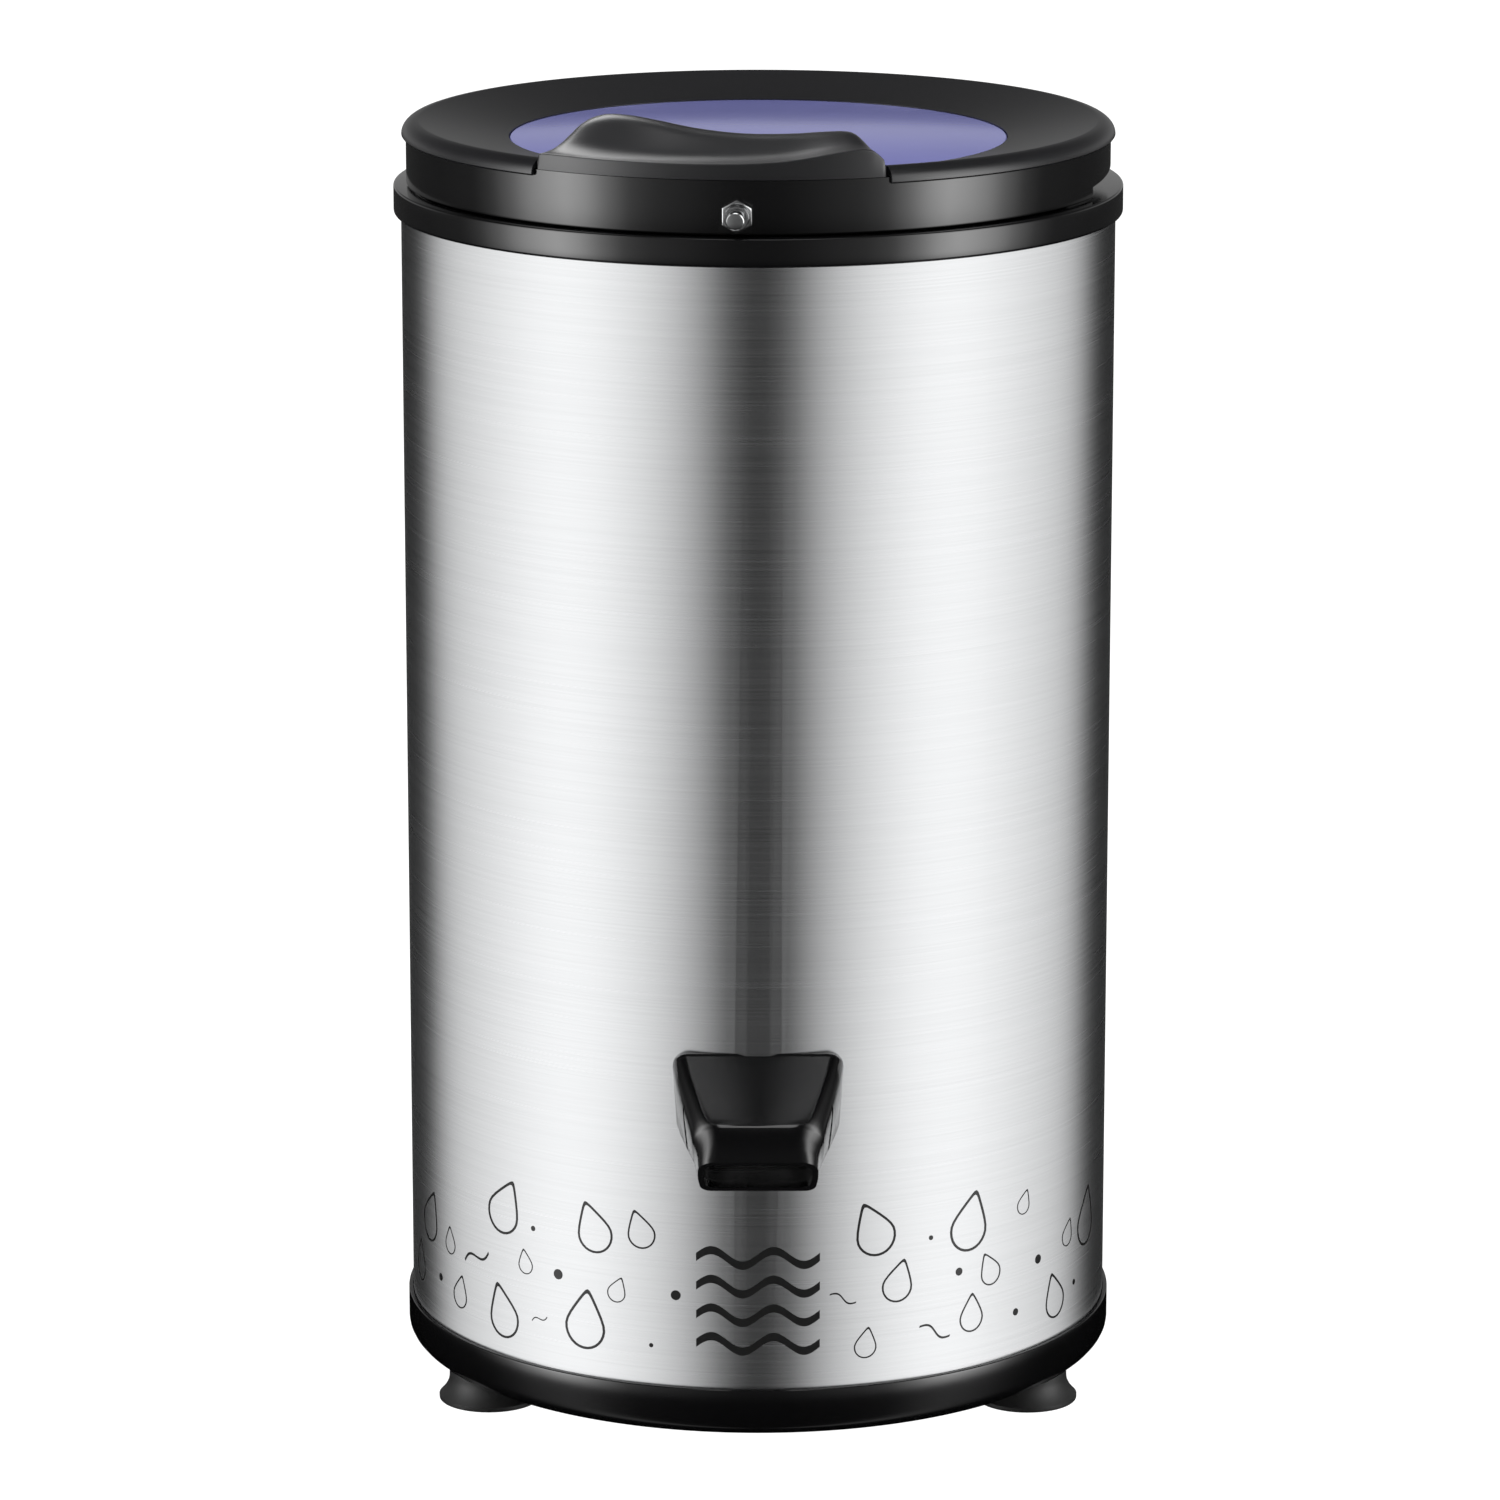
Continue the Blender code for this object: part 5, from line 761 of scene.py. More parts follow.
class SPIN_OT_tray(bpy.types.Operator):
    """Makes the moulded base tray with its rounded corner, rim, ledge and vented floor"""

    bl_idname = "spin.tray"
    bl_label = "Base tray"

    def execute(self, context):
        sizes = context.scene.spin_body
        bore = sizes.shell_radius + SEAT
        under = sizes.tray_underside
        floor_top = under + TRAY_FLOOR
        ledge = sizes.shell_bottom - SEAT
        corner = tray_corner(sizes, 0)
        rim = rounded((sizes.tray_radius, sizes.tray_rim), corner[-1], (bore, sizes.tray_rim), sizes.tray_lip,
                      EDGE_STEPS)
        profile = [(sizes.vent_radius, under), *corner, *rim, (bore, sizes.tray_rim), (bore, ledge),
                   (bore - TRAY_LEDGE, ledge), (bore - TRAY_LEDGE, floor_top), (sizes.vent_radius, floor_top)]
        tray = turned("base_moulding", profile, FINE_STEPS)
        dressed(settled(tray), finishes["gloss"], "gloss_black", "housing", "base_tray")
        return {"FINISHED"}


class SPIN_OT_feet(bpy.types.Operator):
    """Makes the bell-shaped rubber feet and cuts each to fit under the tray"""

    bl_idname = "spin.feet"
    bl_label = "Rubber feet"

    def execute(self, context):
        sizes = context.scene.spin_body
        for number in range(1, FOOT_COUNT + 1):
            low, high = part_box(f"foot_{number}")
            centre = ((low.x + high.x) / 2, (low.y + high.y) / 2)
            angle = atan2(centre[0], AXIS_Y - centre[1])
            middle = spot(sizes.foot_reach, angle, 0)
            flare = []
            for index in range(CORNER_STEPS + 1):
                share = index / CORNER_STEPS
                radius = sizes.foot_waist + (sizes.foot_radius - sizes.foot_waist) * (1 - share) ** 2
                flare.append((radius, FOOT_FLARE + (FOOT_NECK - FOOT_FLARE) * share))
            edge = rounded((sizes.foot_radius, 0), (0, 0), flare[0], FOOT_EDGE, EDGE_STEPS)
            profile = [(FOOT_HOLE, 0), *edge, *flare, (sizes.foot_waist, FOOT_TOP), (FOOT_BORE, FOOT_TOP),
                       (FOOT_BORE, FOOT_RECESS), (FOOT_HOLE, FOOT_RECESS)]
            foot = turned(f"rubber_foot_{number}", profile, ROUND_STEPS)
            foot.location = middle
            select_only(foot)
            bpy.ops.object.transform_apply(location=True, rotation=True, scale=True)
            space = [(0, sizes.tray_underside - SEAT), *tray_corner(sizes, SEAT),
                     (sizes.tray_radius + SEAT, sizes.tray_rim), (0, sizes.tray_rim)]
            carve(foot, turned("tray_space", space, FINE_STEPS, closed=False))
            dressed(settled(foot), finishes["rubber"], "rubber", "housing", f"foot_{number}")
        return {"FINISHED"}


class SPIN_OT_collar(bpy.types.Operator):
    """Makes the fixed collar with its shoulder, its neck and the funnel over the drum"""

    bl_idname = "spin.collar"
    bl_label = "Collar"

    def execute(self, context):
        sizes = context.scene.spin_body
        bore = sizes.shell_radius + SEAT
        inner = sizes.neck_radius - NECK_WALL
        bottom = sizes.collar_top - sizes.collar_drop
        funnel_top = sizes.collar_top + FUNNEL_HEAD
        funnel_low = sizes.collar_top - FUNNEL_DEPTH
        under = sizes.funnel_radius + FUNNEL_WALL
        ceiling = sizes.collar_top - COLLAR_FLANGE
        slope = (funnel_top - funnel_low) / (inner - sizes.funnel_radius)
        meeting = under + (ceiling - funnel_low) / slope
        corners = [
            (bore, bottom, 0), (sizes.collar_radius, bottom, COLLAR_EDGE),
            (sizes.collar_radius, sizes.collar_top, COLLAR_TOP_EDGE),
            (sizes.neck_radius, sizes.collar_top, 0), (sizes.neck_radius, sizes.neck_top, NECK_EDGE),
            (inner, sizes.neck_top, NECK_EDGE),
            (inner, funnel_top, NECK_EDGE), (sizes.funnel_radius, funnel_low, FUNNEL_EDGE),
            (sizes.funnel_radius, funnel_low - FUNNEL_WALL, 0), (under, funnel_low - FUNNEL_WALL, 0),
            (under, funnel_low, 0), (meeting, ceiling, 0), (bore, ceiling, 0),
        ]
        collar = turned("collar_ring", filleted(corners), FINE_STEPS)
        lock = spot(sizes.neck_radius, LOCK_TURN, context.scene.spin_lid.lock_height)
        carve(collar, radial_hole(LOCK_HOLE, LOCK_TURN, lock))
        dressed(settled(collar), finishes["gloss"], "gloss_black", "housing", "collar")
        return {"FINISHED"}


# The spout's rings: the share of the way from the casing to the crease at 1 and on to the mouth at 2, then
# the half widths at its top and bottom and its corner's width and height, as shares of the root's half width
ROOT_SHARE = -0.2
CREASE_SHARE = 1.0
MOUTH_SHARE = 2.0
SPOUT_RING_SHARES = [
    (ROOT_SHARE, 1.00, 0.70, 0.18, 0.16), (0.0, 1.00, 0.70, 0.18, 0.16), (0.25, 0.955, 0.70, 0.20, 0.18),
    (0.50, 0.895, 0.70, 0.22, 0.20), (0.75, 0.83, 0.70, 0.23, 0.22), (0.86, 0.802, 0.70, 0.25, 0.23),
    (0.94, 0.782, 0.70, 0.28, 0.23), (0.98, 0.771, 0.70, 0.32, 0.24),
    (CREASE_SHARE, 0.765, 0.70, 0.375, 0.24),
    (1.05, 0.755, 0.70, 0.37, 0.24), (1.30, 0.725, 0.70, 0.33, 0.23), (1.60, 0.705, 0.69, 0.27, 0.20),
    (1.90, 0.70, 0.68, 0.22, 0.17), (MOUTH_SHARE, 0.70, 0.68, 0.20, 0.16),
]
HOLLOW_START_SHARE = -0.4
HOLLOW_END_SHARE = 2.3


class SPIN_OT_spout(bpy.types.Operator):
    """Lofts the drain spout from the casing to its mouth, hollows it and cuts its two side slots"""

    bl_idname = "spin.spout"
    bl_label = "Drain spout"

    def execute(self, context):
        sizes = context.scene.spin_spout
        body = context.scene.spin_body
        spout = loft("drain_spout", [self.ring(sizes, body, 0, *row) for row in SPOUT_RING_SHARES])
        self.sink_panel(spout, sizes)
        rows = [row for row in SPOUT_RING_SHARES if row[0] != CREASE_SHARE]
        rows = [(HOLLOW_START_SHARE, *rows[0][1:]), *rows[:-1], (HOLLOW_END_SHARE, *rows[-1][1:])]
        carve(spout, loft("spout_hollow", [self.ring(sizes, body, SPOUT_WALL, *row) for row in rows]))
        reach = body.shell_radius + SEAT
        low = sizes.root_bottom - SPOUT_MARGIN
        high = sizes.top + SPOUT_MARGIN
        space = [(0, low), (reach, low), (reach, high), (0, high)]
        carve(spout, turned("casing_space", space, FINE_STEPS, closed=False))
        for side in (-1, 1):
            self.cut_slot(spout, side)
        dressed(settled(spout, SPOUT_SMOOTH_ANGLE), finishes["gloss"], "gloss_black", "housing", "spout")
        return {"FINISHED"}

    def line(self, sizes, body, share):
        """The top and the bottom of a ring, as (reach, height), by its share of the way out."""
        root = body.shell_radius + ROOT_SHARE * (sizes.crease_reach - body.shell_radius)
        stations = [
            (ROOT_SHARE, root, sizes.top, root, sizes.root_bottom),
            (0, body.shell_radius, sizes.top, body.shell_radius, sizes.root_bottom),
            (CREASE_SHARE, sizes.crease_reach, sizes.crease_height, sizes.crease_reach - CHIN_SETBACK,
             sizes.root_bottom + CHIN_RISE),
            (MOUTH_SHARE, sizes.mouth_reach, sizes.mouth_height, sizes.chin_reach, sizes.chin_height),
        ]
        for low, high in zip(stations, stations[1:]):
            if share <= high[0] + WELD or high is stations[-1]:
                t = (share - low[0]) / (high[0] - low[0])
                top_x, top_z, low_x, low_z = [a + (b - a) * t for a, b in zip(low[1:], high[1:])]
                if share > CREASE_SHARE:
                    top_x += NOZZLE_BULGE * max(4 * t * (1 - t), 0)
                return (top_x, top_z), (low_x, low_z)

    def ring(self, sizes, body, inset, share, top_share, bottom_share, width_share, height_share):
        """One closed ring: a flat top, rounded shoulders, and sides that draw in towards the bottom."""
        (top_reach, top_height), (low_reach, low_height) = self.line(sizes, body, share)
        whole = hypot(top_reach - low_reach, top_height - low_height)
        down = Vector((low_reach - top_reach, low_height - top_height)) / whole
        top_reach += down.x * inset
        top_height += down.y * inset
        depth = whole - 2 * inset
        half = sizes.root_half_width * top_share - inset
        low_half = sizes.root_half_width * bottom_share - inset
        width = sizes.root_half_width * width_share - inset / 2
        height = sizes.root_half_width * height_share - inset / 2
        low_width = width * LOW_CORNER_SHARE
        low_height = height * LOW_CORNER_SHARE
        waist = height + (depth - low_height - height) * WAIST_SHARE
        waist_half = half + (low_half - half) * WAIST_DRAW_SHARE
        quarter = [QUARTER_TURN * step / RING_STEPS for step in range(RING_STEPS + 1)]
        shoulder = [(half - width + width * sin(angle), height - height * cos(angle)) for angle in quarter]
        foot = [(low_half - low_width + low_width * cos(angle), depth - low_height + low_height * sin(angle))
                for angle in quarter]
        outline = [(0, 0), *shoulder, (waist_half, waist), *foot, (0, depth)]
        mirrored = [(-x, drop) for x, drop in reversed(outline[1:-1])]
        points = []
        for x, drop in outline + mirrored:
            points.append(Vector((x, AXIS_Y - top_reach - down.x * drop, top_height + down.y * drop)))
        return points

    def sink_panel(self, spout, sizes):
        """Insets the sloping front panel and sinks it, which leaves the rim that catches the light."""
        edit(spout, "FACE")
        low = sizes.crease_height + PANEL_MARGIN
        high = sizes.top - PANEL_MARGIN
        pick(spout, "faces", lambda face: face.normal.z > PANEL_RISE_SHARE
             and low < face.calc_center_median().z < high and abs(face.normal.x) < PANEL_SIDE_SHARE)
        bpy.ops.mesh.inset(thickness=PANEL_RIM, depth=-PANEL_DEPTH)
        bpy.ops.object.mode_set(mode="OBJECT")

    def cut_slot(self, spout, side):
        """Cuts one slender upright slot through a cheek."""
        place = (side * SLOT_X, AXIS_Y - SLOT_REACH, SLOT_HEIGHT)
        guide = rod(SLOT_WIDTH / 2, HOLE_DEPTH, (0, QUARTER_TURN, 0), place)
        guide.scale = (SLOT_LENGTH / SLOT_WIDTH, 1.0, 1.0)
        bpy.ops.object.transform_apply(location=False, rotation=True, scale=True)
        carve(spout, guide)


# Pieces of the lid

class SPIN_OT_skirt(bpy.types.Operator):
    """Makes the lid's skirt, cuts its rear edge back and drills it for the lock and the hinge"""

    bl_idname = "spin.skirt"
    bl_label = "Lid skirt"

    def execute(self, context):
        sizes = context.scene.spin_lid
        inner = sizes.skirt_radius - sizes.skirt_wall
        bottom = sizes.skirt_bottom
        corners = [(inner, bottom, SKIRT_EDGE), (sizes.skirt_radius, bottom, SKIRT_EDGE),
                   (sizes.skirt_radius, sizes.skirt_top, 0), (inner, sizes.skirt_top, 0)]
        skirt = in_lid(turned("lid_side_wall", filleted(corners), FINE_STEPS))
        reach = sizes.skirt_radius + CUT_MARGIN
        outline = [(-reach, RELIEF_START, bottom - CUT_MARGIN), (-reach, reach, bottom - CUT_MARGIN),
                   (-reach, reach, bottom + RELIEF_END_STEP), (-reach, RELIEF_END, bottom + RELIEF_END_STEP),
                   (-reach, RELIEF_START, bottom + RELIEF_STEP)]
        carve(skirt, in_lid(slab("skirt_relief", outline, (2 * reach, 0, 0))))
        lock = spot(sizes.skirt_radius, LOCK_TURN, sizes.lock_height)
        carve(skirt, radial_hole(BUSH_RADIUS + SEAT, LOCK_TURN, lock))
        for number in (1, 2):
            low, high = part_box(f"leaf_screw_{number}")
            carve(skirt, radial_hole(SCREW_HOLE, LID_TURN, (low + high) / 2))
        dressed(settled(skirt), finishes["gloss"], "gloss_black", "lid", "lid_skirt")
        return {"FINISHED"}


class SPIN_OT_cover(bpy.types.Operator):
    """Turns the dished cover with its rounded lip, cuts the handle's gap and adds two bosses for its pin"""

    bl_idname = "spin.cover"
    bl_label = "Lid cover"

    def execute(self, context):
        sizes = context.scene.spin_lid
        opening = sizes.window_radius + SEAT
        ledge = sizes.window_top - sizes.window_thickness - WINDOW_BEDDING
        lip_inner = sizes.skirt_radius + SEAT
        under_lip = sizes.skirt_top + SEAT
        skirt_inner = sizes.skirt_radius - sizes.skirt_wall - SEAT
        crest = (sizes.cover_radius - LIP_ROUND, sizes.cover_top)
        lip_low = sizes.cover_lip_bottom + LIP_EDGE
        lip = []
        for step in range(LIP_STEPS + 1):
            angle = QUARTER_TURN * step / LIP_STEPS
            lip.append((crest[0] + LIP_ROUND * cos(angle), lip_low + (crest[1] - lip_low) * sin(angle)))
        blend = rounded(crest, lip[-2], (opening, sizes.dish_height), CREST_BLEND, CREST_STEPS)
        profile = [
            (lip_inner, sizes.cover_lip_bottom), (sizes.cover_radius - LIP_INSET, sizes.cover_lip_bottom),
            *lip[:-2], *blend, (opening, sizes.dish_height), (opening, ledge), (opening - LEDGE_WIDTH, ledge),
            (opening - LEDGE_WIDTH, ledge - LEDGE_WALL), (opening + LEDGE_WIDTH, ledge - LEDGE_WALL),
            (skirt_inner - COVER_WALL, under_lip - SEAT), (skirt_inner, under_lip), (lip_inner, under_lip),
        ]
        cover = in_lid(turned("lid_dish", profile, FINE_STEPS))
        reach = sizes.cover_radius + CUT_MARGIN
        angles = [sizes.gap_half_angle * (2 * step / ROUND_STEPS - 1) for step in range(ROUND_STEPS + 1)]
        low = ledge - LEDGE_WALL / 2
        outline = [(BRIDGE_REACH * sin(angle), -BRIDGE_REACH * cos(angle), low) for angle in angles]
        outline += [(reach * sin(angle), -reach * cos(angle), low) for angle in reversed(angles)]
        carve(cover, in_lid(slab("handle_gap", outline, (0, 0, HOLE_DEPTH))))
        for side in (-1, 1):
            near, far = sorted((side * BOSS_START, side * BOSS_END))
            front = -BOSS_REACH - BOSS_HALF_WIDTH
            back = -BOSS_REACH + BOSS_HALF_WIDTH
            outline = [(near, front, BOSS_LOW), (far, front, BOSS_LOW), (far, back, BOSS_LOW),
                       (near, back, BOSS_LOW)]
            carve(cover, in_lid(slab("pin_boss", outline, (0, 0, BOSS_HIGH - BOSS_LOW))), "UNION")
        pin = spot(BOSS_REACH, LID_TURN, HANDLE_PIN_HEIGHT)
        carve(cover, cross_hole(HINGE_BORE, BOSS_END * 2 - HINGE_BORE_END, pin))
        dressed(settled(cover), finishes["satin"], "satin_black", "lid", "lid_cover")
        return {"FINISHED"}


class SPIN_OT_window(bpy.types.Operator):
    """Turns the round tinted window with its bevelled edge"""

    bl_idname = "spin.window"
    bl_label = "Window"

    def execute(self, context):
        sizes = context.scene.spin_lid
        bottom = sizes.window_top - sizes.window_thickness
        bevel = rounded((sizes.window_radius, sizes.window_top), (sizes.window_radius, bottom),
                        (0, sizes.window_top), WINDOW_EDGE, EDGE_STEPS)
        profile = [(0, bottom), (sizes.window_radius, bottom), *bevel, (0, sizes.window_top)]
        window = in_lid(turned("tinted_window", profile, FINE_STEPS, closed=False))
        dressed(settled(window), finishes["window"], "window_tint", "lid", "lid_window")
        return {"FINISHED"}


# The handle's shape: its crest and its ridge along it, from the viewer's left to the right, and its section
# from the ridge up a hollow front to the rounded crest and down its back, as shares of run and rise
CREST_SHARES = [(-1.0, 0.0), (-0.985, 0.28), (-0.95, 0.52), (-0.87, 0.80), (-0.74, 0.97), (-0.60, 1.0),
                (-0.40, 0.93), (-0.10, 0.76), (0.20, 0.66), (0.50, 0.65), (0.78, 0.68), (0.90, 0.64),
                (0.955, 0.48), (0.985, 0.26), (1.0, 0.0)]
RIDGE_SHARES = [(-1.0, 0.0), (-0.965, 0.10), (-0.5, 0.02), (0.1, 0.05), (0.45, 0.30), (0.80, 1.0),
                (0.92, 0.95), (0.975, 0.40), (1.0, 0.0)]
FRONT_SHARES = [(0.0, 0.0), (0.14, 0.06), (0.34, 0.22), (0.56, 0.54), (0.74, 0.82), (0.86, 0.94), (1.0, 1.0)]
BACK_SHARES = [(0.0, 1.0), (0.30, 0.975), (0.55, 0.90), (0.80, 0.76), (1.0, 0.50)]


class SPIN_OT_handle(bpy.types.Operator):
    """Lofts the sculpted handle from its thumb lobe to its grip and bores it for its pin"""

    bl_idname = "spin.handle"
    bl_label = "Lid handle"

    def execute(self, context):
        sizes = context.scene.spin_lid
        shares = [-cos(pi * step / HANDLE_STEPS) for step in range(HANDLE_STEPS + 1)]
        handle = loft("lid_lever", [self.section(sizes, share) for share in shares])
        pin = spot(BOSS_REACH, LID_TURN, HANDLE_PIN_HEIGHT)
        carve(handle, cross_hole(HINGE_BORE, sizes.skirt_radius * 2, pin))
        handle = settled(handle, HANDLE_SMOOTH_ANGLE)
        dressed(handle, finishes["satin"], "satin_black", "handle", "lid_handle")
        return {"FINISHED"}

    def section(self, sizes, share):
        """The handle's outline at a share of its half angle, from its back edge round to it again."""
        angle = LID_TURN + sizes.handle_half_angle * share
        crest = HANDLE_END_HEIGHT + (sizes.handle_crest - HANDLE_END_HEIGHT) * eased(CREST_SHARES, share)
        ridge = min(RIDGE_LOW + RIDGE_RISE * max(eased(RIDGE_SHARES, share), 0), crest)
        back = HANDLE_CREST_REACH - sizes.handle_inner
        step_reach = sizes.skirt_radius - sizes.skirt_wall - HANDLE_STEP_GAP
        step_height = sizes.skirt_top + SEAT
        front_edge = sizes.handle_front - HANDLE_EDGE
        lean = front_edge - HANDLE_CREST_REACH
        low = sizes.handle_seat + SEAT
        front = [eased_point(FRONT_SHARES, step / FRONT_STEPS) for step in range(FRONT_STEPS + 1)]
        rear = [eased_point(BACK_SHARES, step / BACK_STEPS) for step in range(1, BACK_STEPS + 1)]
        outline = [(sizes.handle_inner, sizes.handle_seat), (step_reach, sizes.handle_seat),
                   (step_reach, step_height), (sizes.handle_front, step_height)]
        outline += rounded((sizes.handle_front, ridge), (sizes.handle_front, step_height),
                           (sizes.handle_front - lean, ridge), HANDLE_EDGE, EDGE_STEPS)[:-1]
        outline += [(front_edge - lean * run, ridge + (crest - ridge) * up) for run, up in front]
        outline += [(HANDLE_CREST_REACH - back * run, low + (crest - low) * up) for run, up in rear]
        return [spot(reach, angle, height) for reach, height in outline]


class SPIN_OT_lock(bpy.types.Operator):
    """Makes the lock pin, its threaded bush and its hexagon nut, which point out of the skirt"""

    bl_idname = "spin.lock"
    bl_label = "Lock pin and bush"

    def execute(self, context):
        sizes = context.scene.spin_lid
        height = sizes.lock_height
        inner, outer = (PIN_RADIUS, PIN_INNER), (PIN_RADIUS, sizes.lock_reach)
        profile = [(0, PIN_INNER), *rounded(inner, (0, PIN_INNER), outer, PIN_EDGE, EDGE_STEPS),
                   *rounded(outer, inner, (0, sizes.lock_reach), PIN_EDGE, EDGE_STEPS), (0, sizes.lock_reach)]
        pin = laid_out(turned("lock_plunger", profile, ROUND_STEPS, closed=False), height)
        dressed(settled(pin), finishes["bright"], "bright_metal", "lock_pin", "lock_pin")
        bore = PIN_RADIUS + PIN_GAP
        thread_start = BUSH_INNER + BUSH_FLANGE
        turns = round((BUSH_OUTER - thread_start) / THREAD_PITCH)
        thread = []
        for index in range(turns):
            low = thread_start + THREAD_PITCH * index
            thread += [(BUSH_RADIUS - THREAD_DEPTH, low), (BUSH_RADIUS, low + THREAD_PITCH / 2)]
        profile = [(bore, BUSH_INNER), (BUSH_FLANGE_RADIUS, BUSH_INNER), (BUSH_FLANGE_RADIUS, thread_start),
                   *thread, (BUSH_RADIUS - THREAD_DEPTH, BUSH_OUTER), (bore, BUSH_OUTER)]
        bush = laid_out(turned("threaded_bush", profile, ROUND_STEPS), height)
        dressed(settled(bush), finishes["bright"], "bright_metal", "lid", "lock_bush")
        start = sizes.skirt_radius + SEAT
        end = start + NUT_HEIGHT
        profile = [(0, start), (NUT_RADIUS, start), (NUT_RADIUS, end), (0, end)]
        nut = turned("lock_hexagon_nut", profile, NUT_SIDES, closed=False)
        soften(nut, NUT_EDGE)
        select_only(nut)
        nut.rotation_euler = (0, 0, pi / NUT_SIDES)
        bpy.ops.object.transform_apply(location=False, rotation=True, scale=False)
        laid_out(nut, height)
        carve(nut, radial_hole(BUSH_RADIUS + SEAT, LOCK_TURN, spot(start, LOCK_TURN, height)))
        dressed(settled(nut), finishes["bright"], "bright_metal", "lid", "lock_nut")
        return {"FINISHED"}


# The printed band: outlines of drops in many sizes, dots and short waves on both sides of a stack of bold
# waves, laid out flat and then rolled round the casing

class SPIN_OT_print(bpy.types.Operator):
    """Models a drop, a dot and two waves, copies them over a flat band and rolls it round the casing"""

    bl_idname = "spin.print"
    bl_label = "Printed band"

    def execute(self, context):
        sizes = context.scene.spin_body
        motifs = {
            "drop": self.drop(sizes.print_line),
            "dot": self.thicken(self.circle(DOT_STEPS, DOT_RADIUS, "NGON")),
            "wave": self.wave(WAVE_LENGTH, WAVE_RISE, 1, sizes.print_line),
        }
        swell = self.wave(SWELL_LENGTH, SWELL_RISE, SWELL_CRESTS, SWELL_LINE)
        heights = [SWELL_LOW + SWELL_SPACING * index for index in range(SWELL_COUNT)]
        copies = [self.laid(swell, 0, height, 1, 0) for height in heights]
        for row in range(BAND_ROWS):
            height = BAND_LOW + (BAND_HIGH - BAND_LOW) * (row + 1 / 2) / BAND_ROWS
            for column in range(BAND_COLUMNS):
                number = row * BAND_COLUMNS + column
                share = (column + (row % 2) / 2 + BAND_DRIFT * sin(number * BAND_DRIFT_PACE)) / BAND_COLUMNS
                across = (2 * share - 1) * BAND_HALF_LENGTH
                if abs(across) < BAND_CLEAR or cos(across / sizes.shell_radius) < row / BAND_ROWS:
                    continue
                lift = height + BAND_LIFT * sin(number * BAND_LIFT_PACE)
                source = motifs[BAND_ORDER[number % len(BAND_ORDER)]]
                grown = 1 + BAND_GROWTH * sin(number * BAND_GROWTH_PACE)
                tilt = BAND_TILT * sin(number * BAND_TILT_PACE)
                copies.append(self.laid(source, across, lift, grown, tilt))
        for source in (*motifs.values(), swell):
            bpy.data.objects.remove(source, do_unlink=True)
        select_only(copies[0])
        for copy in copies[1:]:
            copy.select_set(True)
        bpy.ops.object.join()
        band = context.object
        band.name = "printed_band"
        band.data.name = "printed_band"
        edit(band)
        mesh = bmesh.from_edit_mesh(band.data)
        for vertex in mesh.verts:
            turned_by = vertex.co.x / sizes.shell_radius
            vertex.co = spot(sizes.shell_radius - vertex.co.y, turned_by, vertex.co.z)
        bmesh.update_edit_mesh(band.data)
        bpy.ops.object.mode_set(mode="OBJECT")
        dressed(settled(band), finishes["ink"], "satin_black", "housing")
        return {"FINISHED"}

    def thicken(self, piece):
        """Extrudes a flat motif to the thickness of the ink and leaves edit mode."""
        everything()
        push((0, -INK_DEPTH, 0))
        return closed_up(piece)

    def circle(self, steps, radius, fill):
        """An upright circle, open in edit mode."""
        deselect()
        bpy.ops.mesh.primitive_circle_add(
            vertices=steps, radius=radius, fill_type=fill, rotation=(QUARTER_TURN, 0, 0))
        bpy.ops.object.transform_apply(location=False, rotation=True, scale=False)
        bpy.ops.object.mode_set(mode="EDIT")
        return bpy.context.object

    def drop(self, line):
        """The outline of a drop: a circle drawn up to a point, extruded inwards by the line's width."""
        piece = self.circle(DROP_STEPS, DROP_RADIUS, "NOTHING")
        mesh = bmesh.from_edit_mesh(piece.data)
        for vertex in mesh.verts:
            rise = max(vertex.co.z, 0) / DROP_RADIUS
            vertex.co.x *= 1 - rise ** 2 * DROP_PINCH
            vertex.co.z += DROP_RADIUS * rise ** 2 * DROP_STRETCH
        bmesh.update_edit_mesh(piece.data)
        everything()
        inner = 1 - line / DROP_RADIUS
        bpy.ops.mesh.extrude_region_move()
        bpy.ops.transform.resize(value=(inner, inner, inner), center_override=(0, 0, 0))
        return self.thicken(piece)

    def wave(self, length, rise, crests, line):
        """A wavy ribbon: one edge drawn along a sine, then extruded by the line's width."""
        piece = seed("wave")
        steps = WAVE_STEPS * crests
        points = [Vector((length * (step / steps - 1 / 2), 0, rise * sin(2 * pi * crests * step / steps)))
                  for step in range(steps + 1)]
        trace(points)
        everything()
        push((0, 0, line))
        return self.thicken(piece)

    def laid(self, source, across, height, grown, tilt):
        """A copy of a motif with its own mesh, at a place on the flat band."""
        select_only(source)
        bpy.ops.object.duplicate(linked=False)
        copy = bpy.context.object
        copy.scale = (grown, 1, grown)
        copy.rotation_euler = (0, tilt, 0)
        copy.location = (across, INK_GAP, height)
        bpy.ops.object.transform_apply(location=True, rotation=True, scale=True)
        return copy


def numbered(name, count):
    """The names of nodes that come in a set, such as damper_1."""
    return [f"{name}_{number}" for number in range(1, count + 1)]


# Which CAD nodes keep their own shape, by the finish they get
KEPT_NODES = {
    "satin": ["hinge_bracket", "hinge_leaf", "cord_gland", "capacitor"],
    "grey": ["tub"],
    "steel": ["drum", "drum_rim"],
    "rubber": ["drain_gasket", "shaft_seal", *numbered("damper", 3), "window_gasket"],
    "zinc": ["motor_plate", *numbered("foot_screw", 3), *numbered("damper_bolt", 3),
             *numbered("damper_nut", 3), "brake_post", "brake_lever", *numbered("hinge_screw", 2),
             *numbered("leaf_screw", 2), "hub_nut"],
    "cast": ["motor_case_lower", "motor_case_upper", "drum_hub", "brake_drum"],
    "bright": ["drum_shaft", "bearing_lower", "bearing_upper", "hinge_pin", "handle_pin"],
    "copper": ["winding_upper", "winding_lower"],
    "iron": ["rotor", "stator_core"],
}


